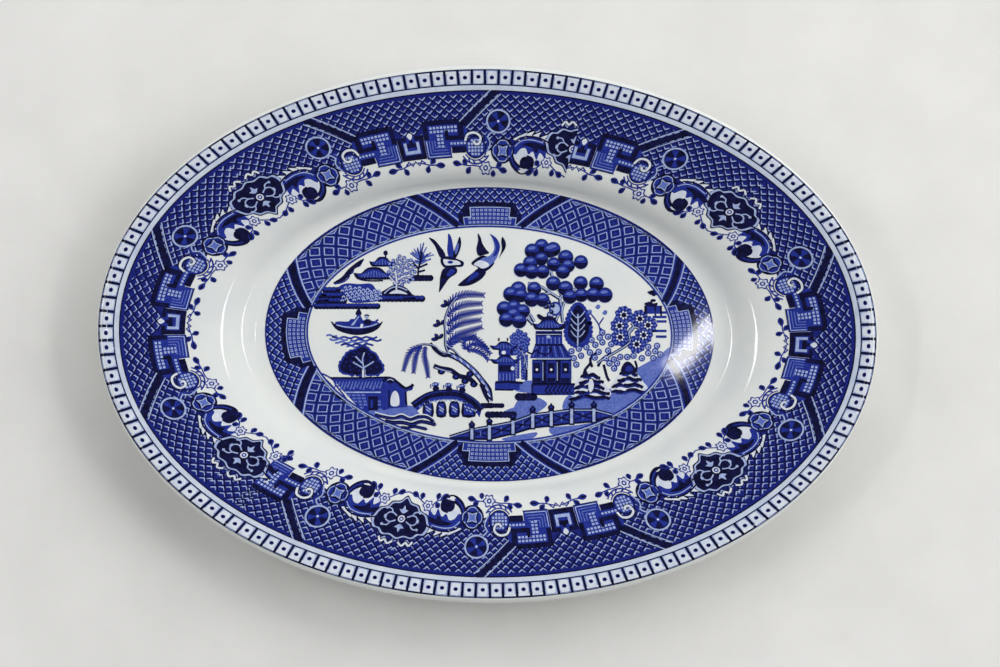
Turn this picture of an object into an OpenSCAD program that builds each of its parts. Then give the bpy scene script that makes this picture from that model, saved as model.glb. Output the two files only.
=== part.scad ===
// Oval dinner plate of vitrified hotel china, printed in blue under a clear glaze.
// Frame: +Z up, long axis on X, origin on the resting plane under the middle of the plate.
// Every surface runs through oval rings, each with a half length, a half width and a height.

/* [Outline] */
// Overall length of the plate
plate_l = 243; // [230:1:256]
// Overall width of the plate
plate_w = 168; // [160:1:176]

/* [Face] */
// Height of the well's floor above the table
floor_z = 6.6; // [6:0.1:8]
// Half length of the flat floor
floor_a = 71; // [68:0.5:72]
// Half width of the flat floor
floor_b = 46.4; // [45:0.2:48]
// Half length where the hollow of the wall turns into its shoulder
wall_a = 79; // [77:0.5:81]
// Half length where the shoulder ends and the rim is straight
rim_a = 90.5; // [88:0.5:92]
// Half length from which the rim has the same width all round
even_a = 100; // [98:0.5:104]
// Steepest slope of the wall at the plate's ends, in degrees
wall_slope = 31; // [26:1:34]
// Slope of the rim, in degrees
rim_slope = 12; // [9:0.5:14]
// Radius of the rolled lip
lip_r = 2.15; // [1.9:0.05:2.4]

/* [Foot] */
// Half length of the foot ring at its root, over the outside
foot_a = 75.2; // [74:0.2:76]
// Width of the foot ring at its root
foot_w = 5; // [4.5:0.1:5.5]
// Height of the foot ring's root over the outside
foot_root = 2.9; // [2.6:0.1:3.2]
// Amount by which each side of the foot leans in
foot_taper = 1; // [0.6:0.1:1.3]
// Height of the hollow inside the foot ring
recess_z = 2.1; // [1.8:0.1:2.4]
// Height up the foot that is wiped clean of glaze
wiped_h = 0.6; // [0.4:0.1:1]

/* [Skins] */
// Thickness of the clear glaze
glaze_t = 0.24; // [0.2:0.02:0.3]
// Thickness of the printed colour under the glaze
film_t = 0.08; // [0.06:0.01:0.1]

/* [Printed zones] */
// Half length at the inner side of the rim border
border_low = 91.5; // [91.5:0.1:93]
// Half length at the outer side of the rim border
border_high = 114.5; // [113.5:0.1:115]
// Half length at the inner side of the chequered strip
edge_low = 115.6; // [115.5:0.1:116.5]
// Number of facets from the long axis round to the first join in the rim border
first_join = 16; // [12:1:20]
// Number of facets from the long axis round to the second join in the rim border
second_join = 50; // [46:1:54]

/* [Hidden] */

turns = 80;                                  // facets round the oval
turn = 360 / turns;
longer = (plate_l - plate_w) / 2;            // how much the rim's half length exceeds its half width
foot_longer = floor_a - floor_b;             // the same for the foot ring
lip_a = plate_l / 2 - lip_r;
cove_r = (wall_a - floor_a) / sin(wall_slope);
shoulder_r = (rim_a - wall_a) / (sin(wall_slope) - sin(rim_slope));
wall_z = floor_z + cove_r * (1 - cos(wall_slope));
rim_z = wall_z + shoulder_r * (cos(rim_slope) - cos(wall_slope));
lip_z = rim_z + (lip_a - rim_a) * tan(rim_slope) - lip_r / cos(rim_slope);
thick = 2 * lip_r / cos(rim_slope);          // of the rim, measured straight down
under_run = 2;                               // from the rim's inner side out to the bend in the back
under_a = rim_a + under_run;
back_run = 8;                                // from the lip in to the first ring on the back
draw_in = 0.25;                              // how fast the half width grows just outside the floor

// Places of the rings on the face, and round the lip in degrees
cove_run = 3;
shoulder_run = 4;
well_rings = concat([for (i = [0 : cove_run - 1]) floor_a + (wall_a - floor_a) * i / cove_run],
                    [for (i = [0 : shoulder_run]) wall_a + (rim_a - wall_a) * i / shoulder_run]);
border_rings = [border_low, (2 * border_low + even_a) / 3, (border_low + 2 * even_a) / 3,
                even_a, border_high];
lip_step = 23;
lip_steps = 3;
printed_turn = 2 * lip_step;
lip_printed = [90 + rim_slope, lip_steps * lip_step, printed_turn];
lip_plain = concat([for (i = [1 : -1 : -lip_steps]) i * lip_step], [rim_slope - 90]);
back_rings = [lip_a - back_run, even_a, under_a];

// Half width of the ring with half length a: an even band on the rim, drawn in faster round the well
function half_width(a) = a >= even_a ? a - longer : a <= floor_a ? a * floor_b / floor_a
    : let (
        run = even_a - floor_a,
        t = (a - floor_a) / run,
        start = draw_in * run
    ) floor_b * (1 + 2 * t) * pow(1 - t, 2) + start * t * pow(1 - t, 2)
      + (even_a - longer) * t * t * (3 - 2 * t) + run * t * t * (t - 1);

// Height of the glazed face at the ring with half length a
function face_z(a) = a <= floor_a ? floor_z
    : a <= wall_a ? floor_z + cove_r - sqrt(pow(cove_r, 2) - pow(a - floor_a, 2))
    : a <= rim_a ? let (x = shoulder_r * sin(wall_slope) - (a - wall_a))
        wall_z - shoulder_r * cos(wall_slope) + sqrt(pow(shoulder_r, 2) - x * x)
    : rim_z + (a - rim_a) * tan(rim_slope);

// Rings on the face, round the lip and on the back, each sunk by a depth into the plate
function face(list, depth) = [for (a = list) [a, half_width(a), face_z(a) - depth]];
function lip(list, depth) = [for (q = list) let (a = lip_a + (lip_r - depth) * cos(q))
    [a, a - longer, lip_z + (lip_r - depth) * sin(q)]];
function back(list, depth) = [for (a = list) [a, half_width(a), face_z(a) - thick + depth]];

// Rings on the foot's outer and inner side at a height
function foot_outer(z, depth) = let (a = foot_a - foot_taper * (1 - z / foot_root) - depth)
    [a, a - foot_longer, z];
function foot_inner(z, depth) = let (a = foot_a - foot_w + foot_taper * (1 - z / recess_z) + depth)
    [a, a - foot_longer, z];

// The body's own surface from floor to foot, under the glaze
function body_face() = concat(face(well_rings, glaze_t), face(border_rings, glaze_t),
                              face([edge_low], glaze_t), lip(lip_printed, glaze_t));
function body_back() = concat(lip(lip_plain, glaze_t), back(back_rings, glaze_t),
                              [foot_outer(foot_root, glaze_t), foot_outer(wiped_h, glaze_t)]);

// The same surface with the prints standing on it
function printed_face(sunk) = concat(
    face([floor_a], sunk), face(well_rings, glaze_t),
    face([border_low], glaze_t), face(border_rings, sunk), face([border_high], glaze_t),
    face([edge_low], glaze_t), face([edge_low], sunk), lip(lip_printed, sunk),
    lip([printed_turn], glaze_t));

function flipped(list) = [for (i = [len(list) - 1 : -1 : 0]) list[i]];

// Points of one ring, over a number of facets
function ring_points(ring, from, count) = [for (i = [0 : count]) let (q = (from + i) * turn)
    [ring.x * cos(q), ring.y * sin(q), ring.z]];

// Solid through a list of rings, closed by flat ovals at both ends of the list
module oval_solid(rings) {
    n = len(rings);
    points = [for (r = rings) each ring_points(r, 0, turns - 1)];
    sides = [for (r = [0 : n - 2], i = [0 : turns - 1]) let (
            j = (i + 1) % turns,
            p = r * turns,
            q = p + turns
        ) each [[p + i, p + j, q + j], [p + i, q + j, q + i]]];
    low = [for (i = [turns - 1 : -1 : 0]) i];
    high = [for (i = [0 : turns - 1]) (n - 1) * turns + i];
    polyhedron(points, concat([low], sides, [high]));
}

// Hoop whose section is the loop of rings, right round the oval
module oval_hoop(loop) {
    n = len(loop);
    points = [for (r = loop) each ring_points(r, 0, turns - 1)];
    polyhedron(points, [for (r = [0 : n - 1], i = [0 : turns - 1]) let (
            j = (i + 1) % turns,
            p = r * turns,
            q = (r + 1) % n * turns
        ) each [[p + i, p + j, q + j], [p + i, q + j, q + i]]]);
}

// Length of a thin hoop between an upper and a lower list of rings
module oval_length(upper, lower, from, count) {
    loop = concat(upper, flipped(lower));
    n = len(loop);
    m = len(upper);
    row = count + 1;
    points = [for (r = loop) each ring_points(r, from, count)];
    sides = [for (r = [0 : n - 1], i = [0 : count - 1]) let (
            p = r * row + i,
            q = (r + 1) % n * row + i
        ) each [[p, p + 1, q + 1], [p, q + 1, q]]];
    ends = [for (r = [0 : m - 2]) let (
            p = r * row,
            q = p + row,
            s = (n - 1 - r) * row,
            t = s - row
        ) each [[p, q, t], [p, t, s], [q + count, p + count, t + count], [t + count, p + count, s + count]]];
    polyhedron(points, concat(sides, ends));
}

// Pressed and fired clay: well, wall, rim, lip and foot in one piece
module biscuit_body() {
    color("ivory") oval_solid(concat(body_face(), body_back(),
        [foot_outer(0, glaze_t), foot_inner(0, glaze_t), foot_inner(recess_z, glaze_t) + [0, 0, glaze_t]]));
}

// Glaze over the face, round the lip and down the back to the foot ring
module face_glaze() {
    back_skin = concat(lip(lip_plain, 0), back(back_rings, 0),
                       [foot_outer(foot_root, 0), foot_outer(wiped_h, 0)]);
    color("aliceblue") oval_solid(concat(
        face(well_rings, 0), face([border_low, even_a, edge_low], 0), lip(lip_printed, 0), back_skin,
        flipped(body_back()), flipped(printed_face(glaze_t - film_t))));
}

// Glaze in the hollow inside the foot ring
module base_glaze() {
    color("aliceblue") oval_solid([
        foot_inner(recess_z, glaze_t) + [0, 0, glaze_t],
        foot_inner(wiped_h, glaze_t), foot_inner(wiped_h, 0), foot_inner(recess_z, 0)]);
}

// Printed chequered strip right round the edge
module edge_strip() {
    upper = concat(face([edge_low], glaze_t - film_t), lip(lip_printed, glaze_t - film_t));
    lower = concat(face([edge_low], glaze_t), lip(lip_printed, glaze_t));
    color("royalblue") oval_hoop(concat(upper, flipped(lower)));
}

// One length of the printed rim border, by the numbers of its first and last facet
module border_strip(from, to) {
    color("mediumblue") oval_length(face(border_rings, glaze_t - film_t), face(border_rings, glaze_t),
                                    from, to - from);
}

// Printed landscape and its frame on the floor of the well
module centre_print() {
    color("darkblue") oval_solid(concat(face([floor_a], glaze_t - film_t), face([floor_a], glaze_t)));
}

biscuit_body();
face_glaze();
base_glaze();
edge_strip();
border_strip(first_join, second_join);  // border_strip_left
border_strip(second_join, first_join + turns);  // border_strip_right
centre_print();
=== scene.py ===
# %% [markdown]
# An oval dinner plate of vitrified hotel china. One pressed and fired body of white clay is printed
# in cobalt blue from inked tissue, then dipped in a clear glaze. This file first reads the packed
# solids, then turns the smooth glazed skin, and then draws the print as a printer would: a flat
# drawing in millimetres, wrapped onto the rim and laid into the well.

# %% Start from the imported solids
import math

import bmesh
import bpy
import numpy as np
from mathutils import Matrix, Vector


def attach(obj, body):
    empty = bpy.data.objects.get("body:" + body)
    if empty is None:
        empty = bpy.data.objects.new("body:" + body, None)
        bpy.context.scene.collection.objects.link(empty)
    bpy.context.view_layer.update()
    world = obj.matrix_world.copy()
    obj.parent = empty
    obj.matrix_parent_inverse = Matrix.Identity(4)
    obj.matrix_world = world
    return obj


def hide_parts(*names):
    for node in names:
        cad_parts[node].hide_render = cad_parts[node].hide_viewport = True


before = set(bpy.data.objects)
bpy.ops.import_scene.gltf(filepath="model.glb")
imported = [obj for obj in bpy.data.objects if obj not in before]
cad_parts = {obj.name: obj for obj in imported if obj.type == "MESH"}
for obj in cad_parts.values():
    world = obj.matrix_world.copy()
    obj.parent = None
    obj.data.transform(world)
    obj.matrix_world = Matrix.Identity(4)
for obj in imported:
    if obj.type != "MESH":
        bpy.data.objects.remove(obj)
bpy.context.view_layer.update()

MM = 0.001
print("solids:", sorted(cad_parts))

# %% [markdown]
# The plate's shape is a family of ovals. Each oval has a half length `a`, and from it follow its
# half width and the height of the face there. The solids were made from the same rule, so the skin
# and the print that use it lie on them exactly.

# %% The ovals of the plate
HALF_L, HALF_W = 121.5, 84.0
FLOOR_A, FLOOR_B, WALL_A, RIM_A, EVEN_A = 71.0, 46.4, 79.0, 90.5, 100.0
FLOOR_Z, LIP_R = 6.6, 2.15
FOOT_A, FOOT_ROOT, WIPED_Z, RECESS_Z, GLAZE_T = 75.2, 2.9, 0.6, 2.1, 0.24
DRAW_IN = 0.25    # how fast the half width grows just outside the floor
WALL_SLOPE, RIM_SLOPE = math.radians(31), math.radians(12)
LONGER = HALF_L - HALF_W
FOOT_LONGER = FLOOR_A - FLOOR_B
LIP_A = HALF_L - LIP_R
COVE_R = (WALL_A - FLOOR_A) / math.sin(WALL_SLOPE)
SHOULDER_R = (RIM_A - WALL_A) / (math.sin(WALL_SLOPE) - math.sin(RIM_SLOPE))
WALL_Z = FLOOR_Z + COVE_R * (1 - math.cos(WALL_SLOPE))
RIM_Z = WALL_Z + SHOULDER_R * (math.cos(RIM_SLOPE) - math.cos(WALL_SLOPE))
LIP_Z = RIM_Z + (LIP_A - RIM_A) * math.tan(RIM_SLOPE) - LIP_R / math.cos(RIM_SLOPE)
THICK = 2 * LIP_R / math.cos(RIM_SLOPE)


def half_width(a):
    run = EVEN_A - FLOOR_A
    t = (a - FLOOR_A) / run
    blend = (FLOOR_B * (1 + 2 * t) * (1 - t) ** 2 + DRAW_IN * run * t * (1 - t) ** 2
        + (EVEN_A - LONGER) * t * t * (3 - 2 * t) + run * t * t * (t - 1))
    return np.where(a >= EVEN_A, a - LONGER, np.where(a <= FLOOR_A, a * FLOOR_B / FLOOR_A, blend))


def face_height(a):
    cove = FLOOR_Z + COVE_R - np.sqrt(np.maximum(COVE_R ** 2 - (a - FLOOR_A) ** 2, 0))
    x = SHOULDER_R * math.sin(WALL_SLOPE) - (a - WALL_A)
    shoulder = WALL_Z - SHOULDER_R * math.cos(WALL_SLOPE) + np.sqrt(np.maximum(SHOULDER_R ** 2 - x * x, 0))
    rim = RIM_Z + (a - RIM_A) * math.tan(RIM_SLOPE)
    lip = LIP_Z + np.sqrt(np.maximum(LIP_R ** 2 - (a - LIP_A) ** 2, 0))
    z = np.where(a <= WALL_A, cove, np.where(a <= RIM_A, shoulder, rim))
    return np.where(a <= FLOOR_A, FLOOR_Z, np.where(a > LIP_A - LIP_R * math.sin(RIM_SLOPE), lip, z))


HALVINGS = 26     # finds a ring to a few millionths of a millimetre


def ring_under(x, y):
    """Half length of the oval that passes through each point."""
    low, high = np.zeros_like(x), np.full_like(x, HALF_L)
    for _ in range(HALVINGS):
        mid = (low + high) / 2
        inside = (x / np.maximum(mid, 1e-6)) ** 2 + (y / np.maximum(half_width(mid), 1e-6)) ** 2 < 1
        low, high = np.where(inside, low, mid), np.where(inside, mid, high)
    return (low + high) / 2


print("rim meets the lip at", round(float(face_height(np.array(LIP_A))), 2), "mm above the table")

# %% [markdown]
# The glazed skin is turned like a pot: half of its section is a chain of vertices, spun once round
# the middle. The round pot is then drawn into the oval by moving each vertex to its own ring. The
# skin stops at the foot, where the glaze is wiped off before firing.

# %% Turn the skin
SINK = 0.1        # the skin lies this far inside the solids, to leave room for the print on it


def turn_oval(name, section, steps=288):
    """Spins a section of (half length, height) points and draws the result into the plate's oval."""
    bm = bmesh.new()
    chain = [bm.verts.new((a, 0, z)) for a, z in section]
    edges = [bm.edges.new(pair) for pair in zip(chain, chain[1:])]
    bmesh.ops.spin(bm, geom=chain + edges, cent=(0, 0, 0), axis=(0, 0, 1), angle=math.tau, steps=steps,
        use_merge=True)
    bmesh.ops.remove_doubles(bm, verts=bm.verts, dist=0.0001)
    bmesh.ops.recalc_face_normals(bm, faces=bm.faces)
    for v in bm.verts:
        a = math.hypot(v.co.x, v.co.y)
        on_foot = v.co.z < FOOT_ROOT + 0.01 and a > FLOOR_A - 2
        b = a - FOOT_LONGER if on_foot else float(half_width(np.array(a)))
        v.co.y *= b / a if a > 1e-6 else 1
    bmesh.ops.scale(bm, vec=(MM, MM, MM), verts=bm.verts)
    for f in bm.faces:
        f.smooth = True
    mesh = bpy.data.meshes.new(name)
    bm.to_mesh(mesh)
    bm.free()
    piece = bpy.data.objects.new(name, mesh)
    bpy.context.collection.objects.link(piece)
    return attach(piece, "root") or piece


def foot_side(z):
    return FOOT_A - (1 - z / FOOT_ROOT)


face_a = [0, 20, 40, 55, 65, 69] + list(np.arange(71, 91, 0.75)) + list(np.arange(91, 118.5, 2.5))
face = [(a, float(face_height(np.array(float(a)))) - SINK) for a in face_a]
lip = [(LIP_A + (LIP_R - SINK) * math.cos(q), LIP_Z + (LIP_R - SINK) * math.sin(q))
    for q in np.radians(np.linspace(102, -78, 19))]
back = [(a, float(face_height(np.array(float(a)))) - THICK + SINK) for a in np.arange(117, 92, -3)]
foot = [(84, 5.9), (foot_side(FOOT_ROOT) - SINK, FOOT_ROOT), (foot_side(WIPED_Z) - SINK, WIPED_Z),
    (foot_side(WIPED_Z) - GLAZE_T, WIPED_Z)]
glaze = turn_oval("face_glaze_skin", face + lip + back + foot)
hollow = RECESS_Z + SINK
base = turn_oval("base_glaze_skin", [(0, hollow), (60, hollow), (70.1, hollow), (71.0, 0.7),
    (71.2, WIPED_Z)])
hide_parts("face_glaze")
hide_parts("base_glaze")
print("skin:", len(glaze.data.polygons), "faces")

# %% [markdown]
# The print is drawn flat, in millimetres, with two tools. `fill` takes an outline and makes one
# face of it, and `pen` draws a line whose width may change along it, as an engraver's burin does.
# Every shape goes on a sheet of one ink, at a level. A higher level covers a lower one.

# %% The drawing tools
sheets = {}


def sheet_of(key):
    """The sheet and the level that a key such as "band NAVY 2" stands for."""
    group, ink, level = key.split()
    return sheets.setdefault(group + " " + ink, {"fills": [], "lines": []}), float(level)


def fill(key, outline):
    sheet, level = sheet_of(key)
    sheet["fills"].append((level, outline))


def pen(key, points, width, closed=False):
    widths = width if isinstance(width, (list, tuple)) else [width] * len(points)
    sheet, level = sheet_of(key)
    sheet["lines"].append((level, points, widths, closed))


def curve(points, closed=True, steps=5):
    """Smooth outline through a few points (Catmull-Rom)."""
    n, out = len(points), []
    for i in range(n if closed else n - 1):
        p = [points[(i + k) % n] if closed else points[min(max(i + k, 0), n - 1)] for k in (-1, 0, 1, 2)]
        for s in range(steps):
            t = s / steps
            out.append(tuple(0.5 * (2 * p[1][k] + (p[2][k] - p[0][k]) * t
                + (2 * p[0][k] - 5 * p[1][k] + 4 * p[2][k] - p[3][k]) * t * t
                + (3 * p[1][k] - p[0][k] - 3 * p[2][k] + p[3][k]) * t ** 3) for k in (0, 1)))
    return out if closed else out + [tuple(points[-1])]


def disc(x, y, rx, ry=None, n=20, turn=0.0):
    ry = ry or rx
    c, s = math.cos(turn), math.sin(turn)
    ring = [(rx * math.cos(math.tau * i / n), ry * math.sin(math.tau * i / n)) for i in range(n)]
    return [(x + c * u - s * v, y + s * u + c * v) for u, v in ring]


def box(x0, y0, x1, y1):
    return [(x0, y0), (x1, y0), (x1, y1), (x0, y1)]


def leaf(x0, y0, x1, y1, w):
    """Almond leaf from its stalk to its tip."""
    dx, dy = x1 - x0, y1 - y0
    ln = math.hypot(dx, dy)
    nx, ny = -dy / ln * w / 2, dx / ln * w / 2
    side = [(0.2, 0.55), (0.5, 1), (0.8, 0.8)]
    return curve([(x0, y0)] + [(x0 + dx * t + nx * k, y0 + dy * t + ny * k) for t, k in side] + [(x1, y1)]
        + [(x0 + dx * t - nx * k, y0 + dy * t - ny * k) for t, k in reversed(side)], steps=3)


def at(points, x, y, side=1):
    """The same points put at a place, and mirrored where side is -1."""
    return [(x + side * u, y + v) for u, v in points]


def height_on(points, x):
    """Height of a line of points over a place."""
    return float(np.interp(x, [p[0] for p in points], [p[1] for p in points]))


# %% [markdown]
# Each sheet becomes one mesh. Lines are a curve object whose splines lie on their sides, so that
# its extrusion gives flat ribbons, with the half width of the pen as the radius of each point.
# Fills are cut every three millimetres before they are wrapped, so that they follow the bowl of
# the rim, and the whole sheet is then moved onto the glaze at its level.

# %% From sheet to mesh
LEVEL = 0.018     # height between one level and the next
STEPS = 8         # tiny steps inside a level, so that shapes of one ink never share a plane


def ribbons(lines):
    """A mesh of flat ribbons, in millimetres."""
    data = bpy.data.curves.new("pen", "CURVE")
    data.dimensions, data.twist_mode, data.extrude = "3D", "Z_UP", 1.0
    for i, (level, points, widths, closed) in enumerate(lines):
        z = LEVEL * (level + (i % STEPS) / STEPS)
        spline = data.splines.new("POLY")
        spline.points.add(len(points) - 1)
        for p, (x, y), w in zip(spline.points, points, widths):
            p.co, p.radius, p.tilt = (x, y, z, 1), w / 2, math.pi / 2
        spline.use_cyclic_u = closed
    holder = bpy.data.objects.new("pen", data)
    bpy.context.collection.objects.link(holder)
    mesh = bpy.data.meshes.new_from_object(holder.evaluated_get(bpy.context.evaluated_depsgraph_get()))
    bpy.data.objects.remove(holder)
    return mesh


def cut_every(bm, step, axis):
    """Cuts everything flat along lines a step apart, so that it can follow a curved face."""
    where = [v.co[axis] for v in bm.verts] or [0]
    for k in range(math.ceil(min(where) / step), math.floor(max(where) / step) + 1):
        place, normal = [0, 0, 0], [0, 0, 0]
        place[axis], normal[axis] = (k + 0.013) * step, 1
        bmesh.ops.bisect_plane(bm, geom=bm.verts[:] + bm.edges[:] + bm.faces[:], dist=1e-5, plane_co=place,
            plane_no=normal)


def lay_sheet(name, sheet, material, wrap, cuts, trims):
    """Makes one piece of a sheet: fills, ribbons, cutting, wrapping, and laying on the glaze."""
    bm = bmesh.new()
    for i, (level, outline) in enumerate(sheet["fills"]):
        z = LEVEL * (level + (i % STEPS) / STEPS)
        bm.faces.new([bm.verts.new((x, y, z)) for x, y in outline])
    if cuts[0]:
        cut_every(bm, cuts[0], 0)
    if sheet["lines"]:
        mesh = ribbons(sheet["lines"])
        bm.from_mesh(mesh)
        bpy.data.meshes.remove(mesh)
    if cuts[1]:
        cut_every(bm, cuts[1], 1)
    for axis, place, out in trims:
        plane = [[place, 0, 0], [out, 0, 0]] if axis == "x" else [[0, place, 0], [0, out, 0]]
        bmesh.ops.bisect_plane(bm, geom=bm.verts[:] + bm.edges[:] + bm.faces[:], dist=1e-5,
            plane_co=plane[0], plane_no=plane[1], clear_outer=True)
    bmesh.ops.triangulate(bm, faces=bm.faces[:])
    flat = np.array([v.co for v in bm.verts])
    x, y = wrap(flat[:, 0], flat[:, 1])
    z = face_height(ring_under(x, y)) - SINK + flat[:, 2]
    for v, px, py, pz in zip(bm.verts, x, y, z):
        v.co = (px * MM, py * MM, pz * MM)
    bm.normal_update()
    bmesh.ops.reverse_faces(bm, faces=[f for f in bm.faces if f.normal.z < 0])
    for f in bm.faces:
        f.smooth = True
    mesh = bpy.data.meshes.new(name)
    bm.to_mesh(mesh)
    bm.free()
    mesh.materials.append(material)
    piece = bpy.data.objects.new(name, mesh)
    bpy.context.collection.objects.link(piece)
    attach(piece, "root")
    return piece


# %% [markdown]
# The rim's drawing is a strip: x runs clockwise along the rim and y is minus the distance in from
# the edge. Wrapping it takes a table of how far round the oval each length of strip reaches. The
# print's oval is a little narrower than the plate's, as it is on most such plates.

# %% Wrap for the rim and for the band in the well
def oval_wrap(half_l, half_w, squeeze=1.0):
    """Wraps a strip round an oval; y = 0 lies on the oval and y grows outwards."""
    q = np.linspace(0, math.tau, 3601)
    ring = np.stack([half_l * np.cos(q), half_w * np.sin(q)])
    length = np.concatenate([[0], np.cumsum(np.hypot(*np.diff(ring, axis=1)))])

    def wrap(x, y):
        turn = np.interp(-x % length[-1], length, q)
        return (half_l + y) * np.cos(turn), (half_w + y * squeeze) * np.sin(turn)
    return wrap, float(length[-1])


NARROWER = 1.1
RIM_IN = 18       # the strip keeps its true length this far in from the edge
to_rim, RIM_ROUND = oval_wrap(HALF_L - RIM_IN, HALF_W - NARROWER - RIM_IN)


def on_rim(x, y):
    return to_rim(x, y + RIM_IN)


print("strip for the rim:", round(RIM_ROUND), "mm long")

# %% [markdown]
# There is one cobalt ink, but it shows in several tones: nearly black navy where the copper was cut
# deepest, two blues where it was cut in close lines, a pale wash where it was only dotted, and the
# white of the china where it was left alone, which a little or much of the colour bleeds into. All of it lies
# under the glaze, so every one of them is as glossy as the china. Ink from a tissue is never even:
# it is mottled, a little thin in places, and its engraved lines just show.

# %% Colours and nodes
def srgb(code):
    """A colour from its sRGB hex code, in linear light."""
    parts = [int(code[i:i + 2], 16) / 255 for i in (1, 3, 5)]
    return [c / 12.92 if c <= 0.04045 else ((c + 0.055) / 1.055) ** 2.4 for c in parts] + [1.0]


def add(tree, kind, settings=None, **links):
    """Adds a node, gives its settings, and links its inputs: name=(node, output) or name=value."""
    node = tree.nodes.new(kind)
    for key, value in (settings or {}).items():
        setattr(node, key, value)
    for key, value in links.items():
        socket = node.inputs[int(key[1:])] if key[1:].isdigit() else node.inputs[key.replace("_", " ")]
        if isinstance(value, tuple) and hasattr(value[0], "outputs"):
            tree.links.new(value[0].outputs[value[1]], socket)
        else:
            socket.default_value = value
    return node


SWELL_MM, GRAIN_MM = 5, 1.6     # the glaze's slow waves, and its fine orange peel, across
RELIEF_MM = 0.012               # drives the height of both, each of which takes a small part of it


def glazed(name, dark, light, mottle_mm, lines_mm=0.0, rough=0.035):
    """Colour under a clear glaze: mottled between two tones, with faint engraved lines."""
    mat = bpy.data.materials.new(name)
    mat.use_nodes = True
    tree = mat.node_tree
    shader = tree.nodes["Principled BSDF"]
    shader.inputs["IOR"].default_value = 1.52
    place = add(tree, "ShaderNodeTexCoord")
    mottle = add(tree, "ShaderNodeTexNoise", Vector=(place, "Object"), Scale=1 / (mottle_mm * MM),
        Detail=4.0, Roughness=0.6)
    spread = add(tree, "ShaderNodeMapRange", _0=(mottle, "Fac"), _1=0.32, _2=0.68)
    tone = spread
    if lines_mm:    # engraved lines, a third of a millimetre apart, broken by the ink's own unevenness
        line = add(tree, "ShaderNodeTexWave", {"bands_direction": "DIAGONAL"}, Vector=(place, "Object"),
            Scale=0.31 / (lines_mm * MM), Distortion=1.5, Detail=1.0)
        tone = add(tree, "ShaderNodeMath", {"operation": "MULTIPLY"}, _0=(spread, 0), _1=(line, "Fac"))
    colour = add(tree, "ShaderNodeMix", {"data_type": "RGBA"}, _0=(tone, 0), _6=srgb(dark), _7=srgb(light))
    tree.links.new(colour.outputs[2], shader.inputs["Base Color"])
    ripple = add(tree, "ShaderNodeTexNoise", Vector=(place, "Object"), Scale=1 / (SWELL_MM * MM),
        Detail=1.0)
    gloss = add(tree, "ShaderNodeMapRange", _0=(mottle, "Fac"), _3=rough * 0.8, _4=rough * 1.3)
    tree.links.new(gloss.outputs[0], shader.inputs["Roughness"])
    swell = add(tree, "ShaderNodeBump", Strength=1.0, Distance=RELIEF_MM * MM * 0.1, Height=(ripple, "Fac"))
    grain = add(tree, "ShaderNodeTexNoise", Vector=(place, "Object"), Scale=1 / (GRAIN_MM * MM), Detail=0.0)
    bump = add(tree, "ShaderNodeBump", Strength=1.0, Distance=RELIEF_MM * MM / 12, Height=(grain, "Fac"),
        Normal=(swell, 0))
    tree.links.new(bump.outputs[0], shader.inputs["Normal"])
    return mat


china = glazed("clear_glaze_over_white_china", "#dfe3e3", "#e6e9e5", 14)
NAVY = glazed("navy_cobalt_underglaze_print", "#07081f", "#15174a", 1.6)
ROYAL = glazed("cobalt_underglaze_print", "#1d2a84", "#3042a4", 1.1, 0.34)
DEEP = glazed("deep_cobalt_underglaze_print", "#161d6a", "#232f8a", 1.3, 0.34)
PALE = glazed("pale_cobalt_wash_underglaze", "#4a5eb2", "#8494d2", 0.7, 0.34)
BLEED = glazed("china_left_white_in_the_print", "#8d9ed0", "#b0bfe2", 1.2)
WASHED = glazed("china_washed_faintly_blue", "#b9c5dc", "#d0d8e6", 5.0)
WHITE = glazed("white_china_inside_the_print", "#c8d0e2", "#dfe4ea", 3.0)
glaze.data.materials.append(china)
base.data.materials.append(china)
print("inks:", NAVY.name, ROYAL.name, PALE.name)

# %% [markdown]
# The chequered strip at the edge is a row of white squares with a dot in each, between two thin
# lines. A width of bare china, then the border proper.

# %% Draw the edge strip
CELLS = 146
cell = RIM_ROUND / CELLS
EDGE_OUT, EDGE_IN, BORDER_OUT = -0.75, -5.25, -6.9


def long_line(sheet, y, width, x0=0.0, x1=RIM_ROUND, every=2.0):
    n = max(int((x1 - x0) / every), 1)
    pen(sheet, [(x0 + (x1 - x0) * i / n, y) for i in range(n + 1)], width)


long_line("edge NAVY 2", EDGE_OUT, 0.5)
long_line("edge NAVY 2", EDGE_IN, 0.4)
for i in range(CELLS):
    x = i * cell
    lean = 0.12 * math.sin(i * 2.4)
    fill("edge NAVY 3", [(x - 0.36, EDGE_IN), (x + 0.36, EDGE_IN), (x + 0.34 + lean, EDGE_OUT),
        (x - 0.38 + lean, EDGE_OUT)])
    fill("edge BLEED 1", box(x, EDGE_IN, x + cell, EDGE_OUT))
    fill("edge WHITE 2", curve([(x + 0.8, EDGE_IN + 0.55), (x + cell / 2, EDGE_IN + 0.38),
        (x + cell - 0.75, EDGE_IN + 0.55), (x + cell - 0.55, -3.0), (x + cell - 0.75, EDGE_OUT - 0.5),
        (x + cell / 2, EDGE_OUT - 0.4), (x + 0.8, EDGE_OUT - 0.55), (x + 0.58, -3.0)], steps=2))
    fill("edge ROYAL 3", disc(x + cell / 2, -3.0 + lean, 0.62, n=10))
    fill("edge NAVY 4", disc(x + cell / 2, -3.0 + lean, 0.45, n=10))
long_line("edge WASHED 2", -6.05, 1.5)
print("cell of the edge strip:", round(cell, 2), "mm")

# %% [markdown]
# The border repeats every 106 mm: in the middle of a repeat stand two blocks of key fret with a
# small box between them, and out from there on both sides come a bar, a wheel, a basket scroll, a
# coin and a leaf with a curled stalk, up to a lobed medallion. So half a repeat is drawn once, and
# placed both ways round. The first thing drawn is the scale ground that fills the outer part.

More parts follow.
